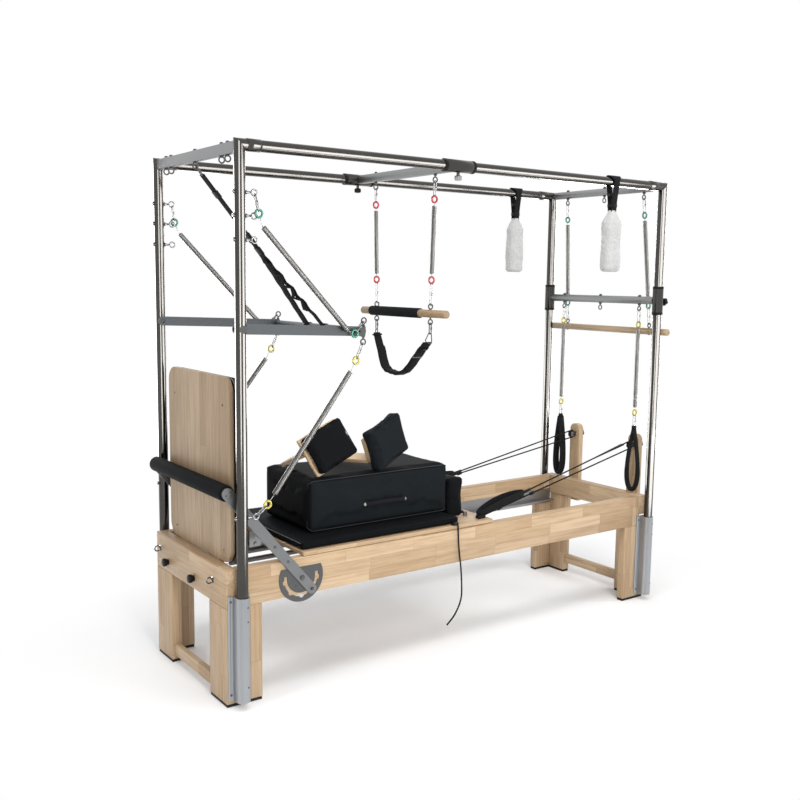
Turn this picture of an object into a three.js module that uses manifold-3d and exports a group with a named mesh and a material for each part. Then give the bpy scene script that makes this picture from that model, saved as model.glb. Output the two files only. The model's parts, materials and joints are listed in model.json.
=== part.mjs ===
import * as THREE from 'three';
import { mergeVertices } from 'three/addons/utils/BufferGeometryUtils.js';
import Module from 'manifold-3d';

// A trapeze table with a sliding carriage under a four-post canopy.
// Millimetres, +X toward the head end, -Y the near side, +Z up.
// Until the last step the bed is centred on the Z axis with the floor at zero.

const wasm = await Module();
wasm.setup();

// Clearances
const seatGap = 0.3;
const slideGap = 0.8;
const overrun = 4;
const bite = 3;

// Face counts
const tubeSides = 16;
const woodSides = 12;
const rodSides = 10;
const boltSides = 6;
const ringSteps = 8;
const wireSides = 3;
const stemSides = 4;
const tailSides = 8;
const linkSteps = 2;
const roundSteps = 3;
const edgeSteps = 2;
const arcSteps = 12;

// Wooden bed
const bedLength = 2346;
const bedWidth = 680;
const railTop = 535;
const railHeight = 150;
const railThickness = 40;
const boardRound = 4;
const footRailThickness = 45;
const headRailThickness = 56;
const headRailHeight = 98;
const headRailRise = 2;
const headPostWidth = 42;
const legBoard = 45;
const legAlongBed = 150;
const legAcrossBed = 153;
const footPadHeight = 12;
const footPadInset = 2;
const stretcherHeight = 48;
const stretcherThickness = 25;
const stretcherInset = 10;
const footStretcherRise = 32;
const headStretcherRise = 54;

const footX = -bedLength / 2;
const headX = bedLength / 2;
const railY = bedWidth / 2;
const innerY = railY - railThickness;
const railBottom = railTop - railHeight;
const footInnerX = footX + footRailThickness;
const headInnerX = headX - headRailThickness;
const headPostX = headInnerX - headPostWidth;

// Canopy tubes
const tubeRadius = 21;
const tubeWall = 2.2;
const canopyHeight = 2079;
const footPostInset = 50;
const headPostInset = 26;
const postStandoff = 16;
const postBase = 34;
const mitreBlock = 200;

const postY = railY + postStandoff + tubeRadius;
const footPostX = footX + footPostInset;
const headPostAxisX = headX - headPostInset;

// Post brackets
const bracketBase = 30;
const bracketTop = 435;
const flangeHalfWidth = 45;
const flangeThickness = 9.7;
const channelWall = 4.6;

// Eyebolts
const eyeRadius = 11;
const eyeWire = 3;
const boltRadius = 4;
const boltThread = 8;
const hookGap = 0.5;
const linkGap = 1.7;

// Eyes on the foot posts, the upper three placed down from the canopy
const postEyeReach = 57;
const postEyeTopDrop = 164;
const postEyeSpringDrop = 246;
const postEyeSpareDrop = 331;
const postEyeLow = 735;
const postEyeHeights = {
  top: canopyHeight - postEyeTopDrop,
  spring: canopyHeight - postEyeSpringDrop,
  spare: canopyHeight - postEyeSpareDrop,
  low: postEyeLow,
};

// Crossbars at the top
const footBarHeight = 41;
const footBarThickness = 25;
const footBarDrop = 7;
const crossTubeRadius = 19;
const crossEyeY = 262;
const footBarEyes = { outer: 285, inner: 235 };
const eyeDrop = 24;

// Sliding collars
const collarWall = 4.6;
const collarBore = tubeRadius + slideGap;
const collarRadius = collarBore + collarWall;

// Springs
const coilRadius = 9.3;
const coilWire = 1.7;
const curlSteps = 7;
const hangCurls = 6;
const bedCurls = 3;
const springRingRadius = 13;
const springRingWire = 2.6;
const linkHalfWidth = 7;
const linkWire = 2.4;

// Push-through bar
const pushPivotDrop = 649;
const pushPivotHeight = canopyHeight - pushPivotDrop;
const pushReach = 539;
const pushDroopDegrees = 2;
const pushArmHeight = 38;
const pushArmThickness = 8;
const pushArmOverhang = 14;
const pushTail = 20;
const pushArmGap = 0.6;
const pushPinRadius = 6;
const pushWasherRadius = 15;
const pushWasherThickness = 4;
const pushCrossRadius = 15;
const pushEyeInset = 8;
const pushEyeStandoff = 42;
const pushHookInset = 16;
const pushHookRadius = 4;
const pushHookLength = 20;

// Safety strap
const strapWidth = 26;
const strapThickness = 4;
const strapForkShare = 0.5;
const strapLoopY = 66;
const strapLinkLength = 42;
const strapLoopWall = 2.4;
const strapLoopGap = 1.4;
const buckleLength = 34;
const buckleThickness = 9;

// Trapeze and its carrier
const carrierX = -136;
const carrierCollarLength = 158;
const carrierBarHeight = 38;
const carrierBarThickness = 30;
const carrierEyeY = 224;
const trapezeDrop = 609;
const trapezeHeight = canopyHeight - trapezeDrop;
const trapezeHalfLength = 320;
const trapezeRadius = 17;
const trapezeEyeY = 206;
const foamRadius = 22;
const foamNear = -132;
const foamFar = 247;
const trapezeRingTopDrop = 124;
const trapezeRingBottomDrop = 465;
const trapezeRingTop = canopyHeight - trapezeRingTopDrop;
const trapezeRingBottom = canopyHeight - trapezeRingBottomDrop;
const slingBottomDrop = 283;
const slingTopDrop = 104;
const slingBottom = trapezeHeight - slingBottomDrop;
const slingTop = trapezeHeight - slingTopDrop;
const slingWidth = 52;
const slingThickness = 16;
const slingPoints = 7;

// Knobs
const knobRadius = 20;
const knobHeight = 20;
const knobLobes = 5;
const knobLobeShare = 0.8;
const knobStem = 12;
const knobStemRadius = 6;

// Fleece loops
const fleeceFarX = 872;
const fleeceNearX = 792;
const fleeceWidth = 82;
const fleeceThickness = 62;
const fleeceTopDrop = 131;
const fleeceLength = 284;
const fleeceTop = canopyHeight - fleeceTopDrop;
const fleeceBottom = fleeceTop - fleeceLength;
const fleeceStrapWidth = 56;
const fleeceStrapThickness = 3;
const fleeceStrapGap = 1.4;
const fleeceFold = 7;

// Middle crossbar, roll-down bar and hand loops
const midBarDrop = 552;
const midBarHeight = canopyHeight - midBarDrop;
const midCollarLength = 139;
const midKnobDrop = 5;
const rollBarDrop = 709;
const rollBarHeight = canopyHeight - rollBarDrop;
const rollBarRadius = 16.5;
const rollBarHalfLength = 405;
const rollBarOffset = 55;
const rollEyeY = 285;
const rollRingTopDrop = 131;
const rollRingBottomDrop = 579;
const rollRingTop = canopyHeight - rollRingTopDrop;
const rollRingBottom = canopyHeight - rollRingBottomDrop;
const handRingTopDrop = 123;
const handLoopClearance = 4;
const handLoopLength = 343;
const handLinkLength = 71;
const handRingTop = midBarHeight - handRingTopDrop;
const handLoopBottom = railTop + headRailRise + handLoopClearance;
const handNeck = handLoopBottom + handLoopLength;
const handRingBottom = handNeck + handLinkLength;
const handNeckLength = 39;
const handNeckRadius = 13;
const handLoopHalfWidth = 50;
const handPad = 13;
const handPadFlat = 10;
const handWideShare = 0.72;

// Foot bar
const barPivotX = -854;
const barPivotZ = 457;
const barRollX = -1168;
const barRollZ = 827;
const barRollRadius = 31;
const barArmWidth = 44;
const barArmThickness = 7;
const barArmGap = 0.5;
const barPinReach = 69;
const barTail = 20;
const barHubRadius = 12;
const barHubThickness = 6;
const barCapRadius = 19;
const lockPinRadius = 5;
const barPlateRadius = 98;
const barPlateRise = 42;
const barPlateThickness = 3;
const slotHalfWidth = 7;
const slotNotchRadius = 10;
const slotNotches = 5;
const slotStartDegrees = 170;
const slotEndDegrees = 372;
const barHubGap = 0.8;

// Jump board
const jumpHalfWidth = 305;
const jumpTop = 1247;
const jumpThickness = 22;
const jumpRound = 60;
const jumpPadThickness = 34;
const jumpPadMargin = 6;
const jumpPadEdge = 12;
const jumpPadCrown = 5;
const jumpHoleRadius = 5;
const jumpHoleY = 227;
const jumpHoleTop = 108;
const jumpHoleBottom = 45;
const jumpTabWidth = 70;
const jumpTabDepth = 75;
const jumpTabY = 150;

// Carriage
const carriageFoot = -840;
const carriageHalfWidth = 338;
const carriageThickness = 16;
const carriageRideGap = 2;
const matLength = 802;
const carriageHeadMargin = 175;
const carriageLength = matLength + carriageHeadMargin;
const matHalfWidth = 324;
const matThickness = 31;
const matCrown = 4;
const matEdge = 9;
const matTuck = 3;
const headrestLength = 84;
const headrestHalfWidth = 240;
const headrestHeight = 186;
const headrestEdge = 20;
const headrestCrown = 5;
const headrestGap = 4;
const headrestPinRadius = 5;
const headrestPinStandoff = 14;
const headrestLugHalf = 9;
const headrestPinRise = 14;
const headrestLugWidth = 12;
const wheelRadius = 24;
const wheelWidth = 20;
const wheelHangerWidth = 7;
const wheelHangerLength = 60;
const wheelInset = 100;
const wheelDrop = 20;
const cordGuideX = -78;
const cordGuideLength = 30;
const cordGuideWidth = 26;
const cordGuideHeight = 13;
const cordGuideReach = 1.5;

// Track frame and carriage springs
const trackHeight = 80;
const trackWeb = 3;
const trackRise = -5;
const trackLedge = 38;
const trackLedgeHeight = 20;
const trackLedgeThickness = 4;
const trackEndGap = 3;
const gearBarX = -1010;
const gearBarWidth = 36;
const gearBarHeight = 30;
const gearHookRise = 26;
const gearHookRadius = 5;
const bedSpringY = 60;
const bedSpringCount = 4;
const bedSpringLength = 585;
const springBarHalfWidth = 9;
const springBarReach = 24;

// Sitting box
const boxLength = 723;
const boxWidth = 400;
const boxHeight = 220;
const boxOffsetX = 80;
const boxOffsetY = -40;
const boxEdge = 20;
const boxCrown = 4;
const handleSpan = 200;
const handleRise = 88;
const handleStandoff = 12;
const handleWidth = 22;
const handleThickness = 4;
const handleShift = 42;

// Shoulder rests
const restLength = 212;
const restWidth = 172;
const restPad = 52;
const restEdge = 14;
const restCrown = 4;
const restPly = 14;
const restFootLength = 210;
const restFootWidth = 60;
const restFootThickness = 18;
const restBlock = 18;
const restPlaceA = {
  alongShare: 0.176,
  acrossShare: 0.23,
  yawDegrees: 3.3,
  pitchDegrees: 68.3,
  rollDegrees: 21.5,
  footShift: 18,
};
const restPlaceB = {
  alongShare: 0.554,
  acrossShare: 0.221,
  yawDegrees: 17.5,
  pitchDegrees: 85,
  rollDegrees: 19,
  footShift: -52,
};

// Risers, pulleys and ropes
const riserY = 209;
const riserWidth = 72;
const riserThickness = 30;
const riserTop = 832;
const riserBottom = 400;
const riserRound = 30;
const riserBlockDepth = 35;
const riserBlockBottom = 452;
const riserBlockTop = 520;
const pulleyHeight = 777;
const pulleyRadius = 20;
const pulleyGroove = 6;
const pulleyWidth = 14;
const pulleyBore = 5;
const pulleyAxleRadius = 4;
const pulleyStandoff = 26;
const cheekThickness = 3;
const cheekGap = 1;
const cheekHeight = 26;
const ropeRadius = 3.5;
const ropeSeat = 6;
const ropeCleatX = 95;
const ropeCleatY = 300;
const cleatLength = 44;
const cleatWidth = 22;
const cleatHeight = 15;
const ropeHandX = 385;
const ropeHandY = 262;
const ropeHandZ = 628;
const ropeClipLength = 26;
const ropeClipRadius = 7;
const ropeClipShare = 0.42;
const ropeLoopLength = 300;
const ropeLoopDrop = 58;
const ropeLoopHalfWidth = 38;
const ropeLoopRadius = 8;

// Hanging end of the near rope, from its guide down past the side rail
const tailRadius = 3.5;
const tailBend = 12;
const tailPoints = [
  [0, 0, 0],
  [0, 6, 0],
  [1, 11.5, -7],
  [2, 12, -20],
  [8, 11.5, -99],
  [22, 11.5, -198],
  [29, 11.5, -286],
  [27, 12, -333],
  [13, 12, -372],
  [-16, 12.5, -413],
  [-52, 13, -443],
];
const tailSteps = 22;

// Plungers in the foot rail
const plungerFarY = 216;
const plungerNearY = -46;
const plungerHeight = 430;
const plungerKnob = 17;
const plungerLength = 24;
const plungerPin = 6;
const plungerPinLength = 30;
const plungerClearance = 0.8;
const railEyeHeight = 470;
const railEyeFarY = 300;
const railEyeNearY = -222;

// Materials
const paint = (color, roughness, metalness) => new THREE.MeshStandardMaterial({ color, roughness, metalness });
const wood = paint(0xd9b382, 0.55, 0);
const chrome = paint(0xc8cacc, 0.15, 1);
const satin = paint(0x9da0a3, 0.4, 0.9);
const aluminium = paint(0xc3c8cc, 0.35, 0.8);
const steel = paint(0x8d8f90, 0.3, 1);
const vinyl = paint(0x1b1d1f, 0.6, 0);
const plastic = paint(0x141414, 0.45, 0);
const webbing = paint(0x17181a, 0.85, 0);
const fleece = paint(0xe6e4de, 0.95, 0);

const group = new THREE.Group();
const along = { x: new THREE.Vector3(1, 0, 0), y: new THREE.Vector3(0, 1, 0), z: new THREE.Vector3(0, 0, 1) };
const at = (x, y, z) => new THREE.Vector3(x, y, z);
const turn = THREE.MathUtils.degToRad;

// Solids in and out of the boolean kernel
function solid(geometry) {
  const bare = geometry.clone();
  bare.deleteAttribute('normal');
  bare.deleteAttribute('uv');
  const merged = mergeVertices(bare);
  return new wasm.Manifold(new wasm.Mesh({
    numProp: 3,
    vertProperties: Float32Array.from(merged.attributes.position.array),
    triVerts: Uint32Array.from(merged.index.array),
  }));
}

function fuse(geometries) {
  return geometries.map(solid).reduce((whole, next) => whole.add(next));
}

function cut(body, geometries) {
  return geometries.map(solid).reduce((whole, next) => whole.subtract(next), body);
}

function geometryOf(body) {
  const mesh = body.getMesh();
  const geometry = new THREE.BufferGeometry();
  geometry.setAttribute('position', new THREE.BufferAttribute(Float32Array.from(mesh.vertProperties), 3));
  geometry.setIndex(Array.from(mesh.triVerts));
  geometry.computeVertexNormals();
  return geometry;
}

function piece(name, form, material) {
  const geometry = form.isBufferGeometry ? form : geometryOf(form);
  const mesh = new THREE.Mesh(geometry, material);
  mesh.name = name;
  group.add(mesh);
  return mesh;
}

// Outlines
function outline(points, holes = []) {
  const shape = new THREE.Shape(points.map(([x, y]) => new THREE.Vector2(x, y)));
  holes.forEach((hole) => shape.holes.push(new THREE.Path(hole.map(([x, y]) => new THREE.Vector2(x, y)))));
  return shape;
}

function arc(x, y, radius, start, end, steps) {
  const points = [];
  for (let i = 0; i <= steps; i += 1) {
    const angle = start + ((end - start) * i) / steps;
    points.push([x + radius * Math.cos(angle), y + radius * Math.sin(angle)]);
  }
  return points;
}

function circle(x, y, radius, sides) {
  return arc(x, y, radius, 0, 2 * Math.PI * (1 - 1 / sides), sides - 1);
}

function roundedRectangle(x0, y0, x1, y1, radius, steps = edgeSteps) {
  const quarter = Math.PI / 2;
  return [
    ...arc(x0 + radius, y0 + radius, radius, 2 * quarter, 3 * quarter, steps),
    ...arc(x1 - radius, y0 + radius, radius, 3 * quarter, 4 * quarter, steps),
    ...arc(x1 - radius, y1 - radius, radius, 0, quarter, steps),
    ...arc(x0 + radius, y1 - radius, radius, quarter, 2 * quarter, steps),
  ];
}

// Extrusions along each axis: outlines are drawn in (x, y), (y, z) and (x, z)
function extrudeZ(shape, from, to) {
  const geometry = new THREE.ExtrudeGeometry(shape, { depth: to - from, bevelEnabled: false, curveSegments: arcSteps });
  return geometry.translate(0, 0, from);
}

function extrudeX(shape, from, to) {
  const geometry = extrudeZ(shape, 0, to - from);
  geometry.applyMatrix4(new THREE.Matrix4().makeBasis(along.y, along.z, along.x));
  return geometry.translate(from, 0, 0);
}

function extrudeY(shape, from, to) {
  const geometry = extrudeZ(shape, 0, to - from);
  geometry.applyMatrix4(new THREE.Matrix4().makeBasis(along.x, along.z, along.y.clone().negate()));
  return geometry.translate(0, to, 0);
}

function board(x0, x1, y0, y1, z0, z1) {
  return extrudeZ(outline([[x0, y0], [x1, y0], [x1, y1], [x0, y1]]), z0, z1);
}

function rod(from, to, radius, sides = rodSides) {
  const way = to.clone().sub(from);
  const geometry = new THREE.CylinderGeometry(radius, radius, way.length(), sides);
  geometry.applyQuaternion(new THREE.Quaternion().setFromUnitVectors(along.y, way.clone().normalize()));
  return geometry.translate(...from.clone().add(to).divideScalar(2).toArray());
}

function ring(centre, normal, radius, wire, steps = ringSteps) {
  const geometry = new THREE.TorusGeometry(radius, wire, wireSides, steps);
  geometry.applyQuaternion(new THREE.Quaternion().setFromUnitVectors(along.z, normal.clone().normalize()));
  return geometry.translate(...centre.toArray());
}

// A section carried along a line of points. A fixed side vector keeps a flat section flat.
function sweep(points, section, side, closed = false) {
  const count = points.length;
  const width = section.length;
  const positions = [];
  let across = side ? side.clone() : null;
  points.forEach((point, i) => {
    const ahead = closed ? points[(i + 1) % count] : points[Math.min(i + 1, count - 1)];
    const behind = closed ? points[(i + count - 1) % count] : points[Math.max(i - 1, 0)];
    const tangent = ahead.clone().sub(behind).normalize();
    if (!across) across = Math.abs(tangent.z) > Math.SQRT1_2 ? along.x.clone() : along.z.clone();
    across.addScaledVector(tangent, -across.dot(tangent)).normalize();
    const up = tangent.clone().cross(across);
    section.forEach(([u, v]) => {
      positions.push(...point.clone().addScaledVector(across, u).addScaledVector(up, v).toArray());
    });
  });
  const index = [];
  const spans = closed ? count : count - 1;
  for (let i = 0; i < spans; i += 1) {
    for (let k = 0; k < width; k += 1) {
      const next = (k + 1) % width;
      const here = i * width;
      const there = ((i + 1) % count) * width;
      index.push(here + k, here + next, there + next, here + k, there + next, there + k);
    }
  }
  if (!closed) {
    const last = (count - 1) * width;
    for (let k = 1; k < width - 1; k += 1) {
      index.push(0, k + 1, k, last, last + k, last + k + 1);
    }
  }
  const geometry = new THREE.BufferGeometry();
  geometry.setAttribute('position', new THREE.Float32BufferAttribute(positions, 3));
  geometry.setIndex(index);
  return geometry;
}

const wireSection = (radius, sides = wireSides) => circle(0, 0, radius, sides);
const stripSection = (width, thickness) => [
  [-width / 2, -thickness / 2],
  [width / 2, -thickness / 2],
  [width / 2, thickness / 2],
  [-width / 2, thickness / 2],
];

// A stuffed block: rounded edges, a crowned top, and sides drawn in toward the base
function cushion(length, width, height, edge, crown, tuck, cells) {
  const geometry = new THREE.BoxGeometry(2, 2, 2, ...cells);
  const place = geometry.attributes.position;
  const half = [length / 2, width / 2, height / 2];
  for (let i = 0; i < place.count; i += 1) {
    const unit = [place.getX(i), place.getY(i), place.getZ(i)];
    const flat = unit.map((value, axis) => {
      const flatShare = 1 - 2 / cells[axis];
      const cell = Math.round(((value + 1) / 2) * cells[axis]);
      const atEnd = cell === 0 || cell === cells[axis];
      return atEnd ? Math.sign(value) * half[axis] : (value / flatShare) * (half[axis] - edge);
    });
    const core = flat.map((value, axis) => THREE.MathUtils.clamp(value, edge - half[axis], half[axis] - edge));
    const away = at(...flat).sub(at(...core));
    const point = away.length() > 0 ? at(...core).addScaledVector(away.normalize(), edge) : at(...core);
    const rise = (point.z + half[2]) / height;
    const roundShare = (1 - (point.x / half[0]) ** 2) * (1 - (point.y / half[1]) ** 2);
    point.x -= Math.sign(point.x) * tuck * (1 - rise) * Math.abs(point.x / half[0]);
    point.y -= Math.sign(point.y) * tuck * (1 - rise) * Math.abs(point.y / half[1]);
    point.z += crown * roundShare * Math.max(0, rise * 2 - 1);
    place.setXYZ(i, point.x, point.y, point.z);
  }
  return geometry;
}

// The line of a coil spring: straight leads on its axis and one unbroken run of curls between
function coilLine(from, to, lead, curls) {
  const way = to.clone().sub(from);
  const length = way.length();
  way.normalize();
  const side = Math.abs(way.y) > Math.SQRT1_2 ? along.x.clone() : along.y.clone();
  side.addScaledVector(way, -side.dot(way)).normalize();
  const up = way.clone().cross(side);
  const steps = curls * curlSteps;
  const points = [from.clone(), from.clone().addScaledVector(way, lead)];
  for (let i = 1; i < steps; i += 1) {
    const angle = (2 * Math.PI * i) / curlSteps;
    const swell = Math.min(1, (2 * Math.min(i, steps - i)) / curlSteps);
    const point = from.clone().addScaledVector(way, lead + ((length - 2 * lead) * i) / steps);
    point.addScaledVector(side, swell * coilRadius * Math.cos(angle));
    point.addScaledVector(up, swell * coilRadius * Math.sin(angle));
    points.push(point);
  }
  points.push(to.clone().addScaledVector(way, -lead), to.clone());
  return points;
}

function leastGap(points, wire, apart) {
  let least = Infinity;
  points.forEach((point, i) => {
    points.slice(i + apart).forEach((other) => {
      least = Math.min(least, point.distanceTo(other));
    });
  });
  return least - 2 * wire;
}

function coil(name, from, to, lead, curls) {
  const points = coilLine(from, to, lead, curls);
  console.log(`${name}: least gap between curls ${leastGap(points, coilWire, curlSteps - 1).toFixed(2)} mm`);
  return sweep(points, wireSection(coilWire));
}

// A long closed link whose round ends lie on the two points
function link(from, to, normal) {
  const way = to.clone().sub(from).normalize();
  const side = way.clone().cross(normal).normalize();
  const points = [];
  [[to, 0], [from, Math.PI]].forEach(([end, start]) => {
    const inward = start === 0 ? -1 : 1;
    const centre = end.clone().addScaledVector(way, inward * linkHalfWidth);
    for (let i = 0; i <= linkSteps; i += 1) {
      const angle = start + (Math.PI * i) / linkSteps;
      points.push(centre.clone()
        .addScaledVector(side, linkHalfWidth * Math.cos(angle))
        .addScaledVector(way, linkHalfWidth * Math.sin(angle)));
    }
  });
  return sweep(points, wireSection(linkWire), normal, true);
}

// An eyebolt: its ring stands in the XZ plane, its shank runs on past the far face by its thread
function eyebolt(eye, toward, farFace) {
  const start = eye.clone().addScaledVector(toward, eyeRadius);
  const end = eye.clone().addScaledVector(toward, farFace + boltThread);
  return [
    ring(eye, along.y, eyeRadius, eyeWire),
    rod(start, end, boltRadius, stemSides),
  ];
}

// A lobed hand knob on a stem that grows from its seat along a direction
function knob(seat, toward, radius = knobRadius) {
  const points = [];
  const steps = knobLobes * roundSteps;
  for (let i = 0; i < steps; i += 1) {
    const angle = (2 * Math.PI * i) / steps;
    const reach = radius * (1 - ((1 - knobLobeShare) * (1 - Math.cos(knobLobes * angle))) / 2);
    points.push([reach * Math.cos(angle), reach * Math.sin(angle)]);
  }
  const head = extrudeZ(outline(points), knobStem, knobStem + knobHeight);
  const stem = rod(at(0, 0, 0), at(0, 0, knobStem + bite), knobStemRadius, boltSides);
  const way = new THREE.Quaternion().setFromUnitVectors(along.z, toward);
  [head, stem].forEach((form) => form.applyQuaternion(way).translate(...seat.toArray()));
  return fuse([head, stem]);
}

function pipe(extrude, centre, radius, wall, from, to) {
  const shape = outline(circle(...centre, radius, tubeSides), [circle(...centre, radius - wall, tubeSides)]);
  return extrude(shape, from, to);
}

// A revolved ring about an axis direction, drawn as (radius, place along the axis)
function revolve(profile, centre, axis, sides = tubeSides) {
  const geometry = new THREE.LatheGeometry(profile.map(([r, t]) => new THREE.Vector2(r, t)), sides);
  geometry.applyQuaternion(new THREE.Quaternion().setFromUnitVectors(along.y, axis));
  return geometry.translate(...centre.toArray());
}

function collar(centre, axis, length) {
  const half = length / 2;
  return solid(revolve([
    [collarBore, -half],
    [collarRadius, -half],
    [collarRadius, half],
    [collarBore, half],
    [collarBore, -half],
  ], centre, axis));
}

// Foot end of the bed: two angle legs, the end rail and a stretcher, glued into one frame
function legPair(edgeX, inward, top) {
  const parts = [];
  [-1, 1].forEach((side) => {
    const corner = (x, y) => [edgeX + inward * x, side * (railY - y)];
    const section = (inset) => outline([
      corner(inset, inset),
      corner(legAlongBed - inset, inset),
      corner(legAlongBed - inset, railThickness - inset),
      corner(legBoard - inset, railThickness - inset),
      corner(legBoard - inset, legAcrossBed - inset),
      corner(inset, legAcrossBed - inset),
    ]);
    parts.push(extrudeZ(section(0), footPadHeight, railBottom - seatGap));
    parts.push(extrudeZ(section(footPadInset), 0, footPadHeight + bite));
    const yOuter = side * railY;
    const yInner = side * (railY - legAcrossBed);
    const xs = [edgeX, edgeX + inward * legBoard].sort((a, b) => a - b);
    const ys = [yOuter, yInner].sort((a, b) => a - b);
    parts.push(board(...xs, ...ys, railBottom - seatGap - bite, top));
  });
  return parts;
}

function stretcher(edgeX, inward, rise) {
  const reach = railY - legAcrossBed + bite;
  const xs = [edgeX + inward * stretcherInset, edgeX + inward * (stretcherInset + stretcherThickness)];
  xs.sort((a, b) => a - b);
  return board(...xs, -reach, reach, rise, rise + stretcherHeight);
}

function footEndFrame() {
  const railSection = outline(roundedRectangle(footX, railBottom - bite, footInnerX, railTop, boardRound));
  const body = fuse([
    ...legPair(footX, 1, railBottom),
    stretcher(footX, 1, footStretcherRise),
    extrudeY(railSection, -railY, railY),
    ...eyebolt(at(footX - eyeRadius - eyeWire, railEyeFarY, railEyeHeight), along.x, eyeRadius + eyeWire),
    ...eyebolt(at(footX - eyeRadius - eyeWire, railEyeNearY, railEyeHeight), along.x, eyeRadius + eyeWire),
  ]);
  const holes = [plungerFarY, plungerNearY].map((y) => rod(
    at(footX - overrun, y, plungerHeight),
    at(footX + plungerPinLength + plungerClearance, y, plungerHeight),
    plungerPin + plungerClearance,
    tailSides,
  ));
  return cut(body, holes);
}

function headEndFrame() {
  const railSection = outline(roundedRectangle(
    headInnerX,
    railTop + headRailRise - headRailHeight,
    headX,
    railTop + headRailRise,
    boardRound,
  ));
  const parts = [
    ...legPair(headX, -1, railTop + headRailRise - headRailHeight + bite),
    stretcher(headX, -1, headStretcherRise),
    extrudeY(railSection, -railY, railY),
  ];
  [-1, 1].forEach((side) => {
    const ys = [side * railY, side * innerY].sort((a, b) => a - b);
    parts.push(board(headPostX, headInnerX + bite, ...ys, railBottom - bite, railTop));
    const blockYs = [side * riserY - riserWidth / 2, side * riserY + riserWidth / 2];
    parts.push(board(headX - bite, headX + riserBlockDepth, ...blockYs, riserBlockBottom, riserBlockTop));
  });
  return fuse(parts);
}

function sideRail(side) {
  const ys = [side * innerY, side * railY].sort((a, b) => a - b);
  const section = outline(roundedRectangle(ys[0], railBottom, ys[1], railTop, boardRound));
  return extrudeX(section, footInnerX + seatGap, headPostX - seatGap);
}

// Aluminium bracket: a flat flange with a round channel that holds the post
function postBracket(postX, side) {
  const face = railY + seatGap;
  const ys = (near, far) => [side * near, side * far].sort((a, b) => a - b);
  const flangeYs = ys(face, face + flangeThickness);
  const channelYs = ys(face, postY);
  const reach = tubeRadius + slideGap + channelWall;
  const body = fuse([
    extrudeZ(outline([
      [postX - flangeHalfWidth, flangeYs[0]],
      [postX + flangeHalfWidth, flangeYs[0]],
      [postX + flangeHalfWidth, flangeYs[1]],
      [postX - flangeHalfWidth, flangeYs[1]],
    ]), bracketBase, bracketTop),
    board(postX - reach, postX + reach, ...channelYs, bracketBase, bracketTop),
    extrudeZ(outline(circle(postX, side * postY, reach, tubeSides)), bracketBase, bracketTop),
  ]);
  const bore = outline(circle(postX, side * postY, tubeRadius + slideGap, tubeSides));
  return cut(body, [extrudeZ(bore, bracketBase - overrun, bracketTop + overrun)]);
}

// The half space past a mitre plane at a top corner, as a turned block
function mitreBlockAt(cornerX, side, outward, keepAbove) {
  const block = new THREE.BoxGeometry(mitreBlock, mitreBlock, mitreBlock);
  const slope = outward;
  const normal = at(-slope, 0, 1).normalize();
  const push = (keepAbove ? -1 : 1) * (mitreBlock / 2) + (keepAbove ? seatGap / 2 : -seatGap / 2);
  block.applyQuaternion(new THREE.Quaternion().setFromUnitVectors(along.z, normal));
  return block.translate(
    cornerX + normal.x * push,
    side * postY,
    canopyHeight + normal.z * push,
  );
}

function post(postX, side, outward, heights) {
  const tube = pipe(extrudeZ, [postX, side * postY], tubeRadius, tubeWall, postBase, canopyHeight + tubeRadius);
  const mitred = cut(solid(tube), [mitreBlockAt(postX, side, outward, false)]);
  if (heights.length === 0) return mitred;
  const pin = rod(
    at(postX, side * (postY - tubeRadius - overrun), pushPivotHeight),
    at(postX, side * (postY + tubeRadius + overrun), pushPivotHeight),
    pushPinRadius + slideGap,
    tailSides,
  );
  const bolts = heights.flatMap((height) => eyebolt(
    at(postX + postEyeReach, side * postY, height),
    at(-1, 0, 0),
    postEyeReach + tubeRadius,
  ));
  return cut(mitred, [pin]).add(fuse(bolts));
}

function topRail(side) {
  const centre = [side * postY, canopyHeight];
  const tube = pipe(extrudeX, centre, tubeRadius, tubeWall, footPostX - tubeRadius, headPostAxisX + tubeRadius);
  return cut(solid(tube), [
    mitreBlockAt(footPostX, side, -1, true),
    mitreBlockAt(headPostAxisX, side, 1, true),
  ]);
}

function footCrossbar() {
  const reach = postY - tubeRadius - seatGap;
  const middle = canopyHeight - footBarDrop;
  const section = outline(roundedRectangle(
    footPostX - footBarThickness / 2,
    middle - footBarHeight / 2,
    footPostX + footBarThickness / 2,
    middle + footBarHeight / 2,
    boardRound,
  ));
  const eyeZ = middle - footBarHeight / 2 - eyeRadius - eyeWire;
  const spots = [-footBarEyes.outer, -footBarEyes.inner, 0, footBarEyes.inner, footBarEyes.outer];
  const farFace = middle + footBarHeight / 2 - eyeZ;
  return fuse([
    extrudeY(section, -reach, reach),
    ...spots.flatMap((y) => eyebolt(at(footPostX, y, eyeZ), along.z, farFace)),
  ]);
}

const crossEyeHeight = (barHeight) => barHeight - crossTubeRadius - eyeDrop;

function roundCrossbar(barX, barHeight, reach) {
  const eyeZ = crossEyeHeight(barHeight);
  const farFace = barHeight + crossTubeRadius - eyeZ;
  const shape = outline(circle(barX, barHeight, crossTubeRadius, tubeSides));
  return [
    extrudeY(shape, -reach, reach),
    ...[-crossEyeY, 0, crossEyeY].flatMap((y) => (
      eyebolt(at(barX, y, eyeZ), along.z, farFace)
    )),
  ];
}

// Aluminium tracks on the rails' inner faces, joined by the bar that holds the carriage springs
const trackBottom = railBottom + trackRise;
const ledgeTop = trackBottom + trackLedgeHeight + trackLedgeThickness;

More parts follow.
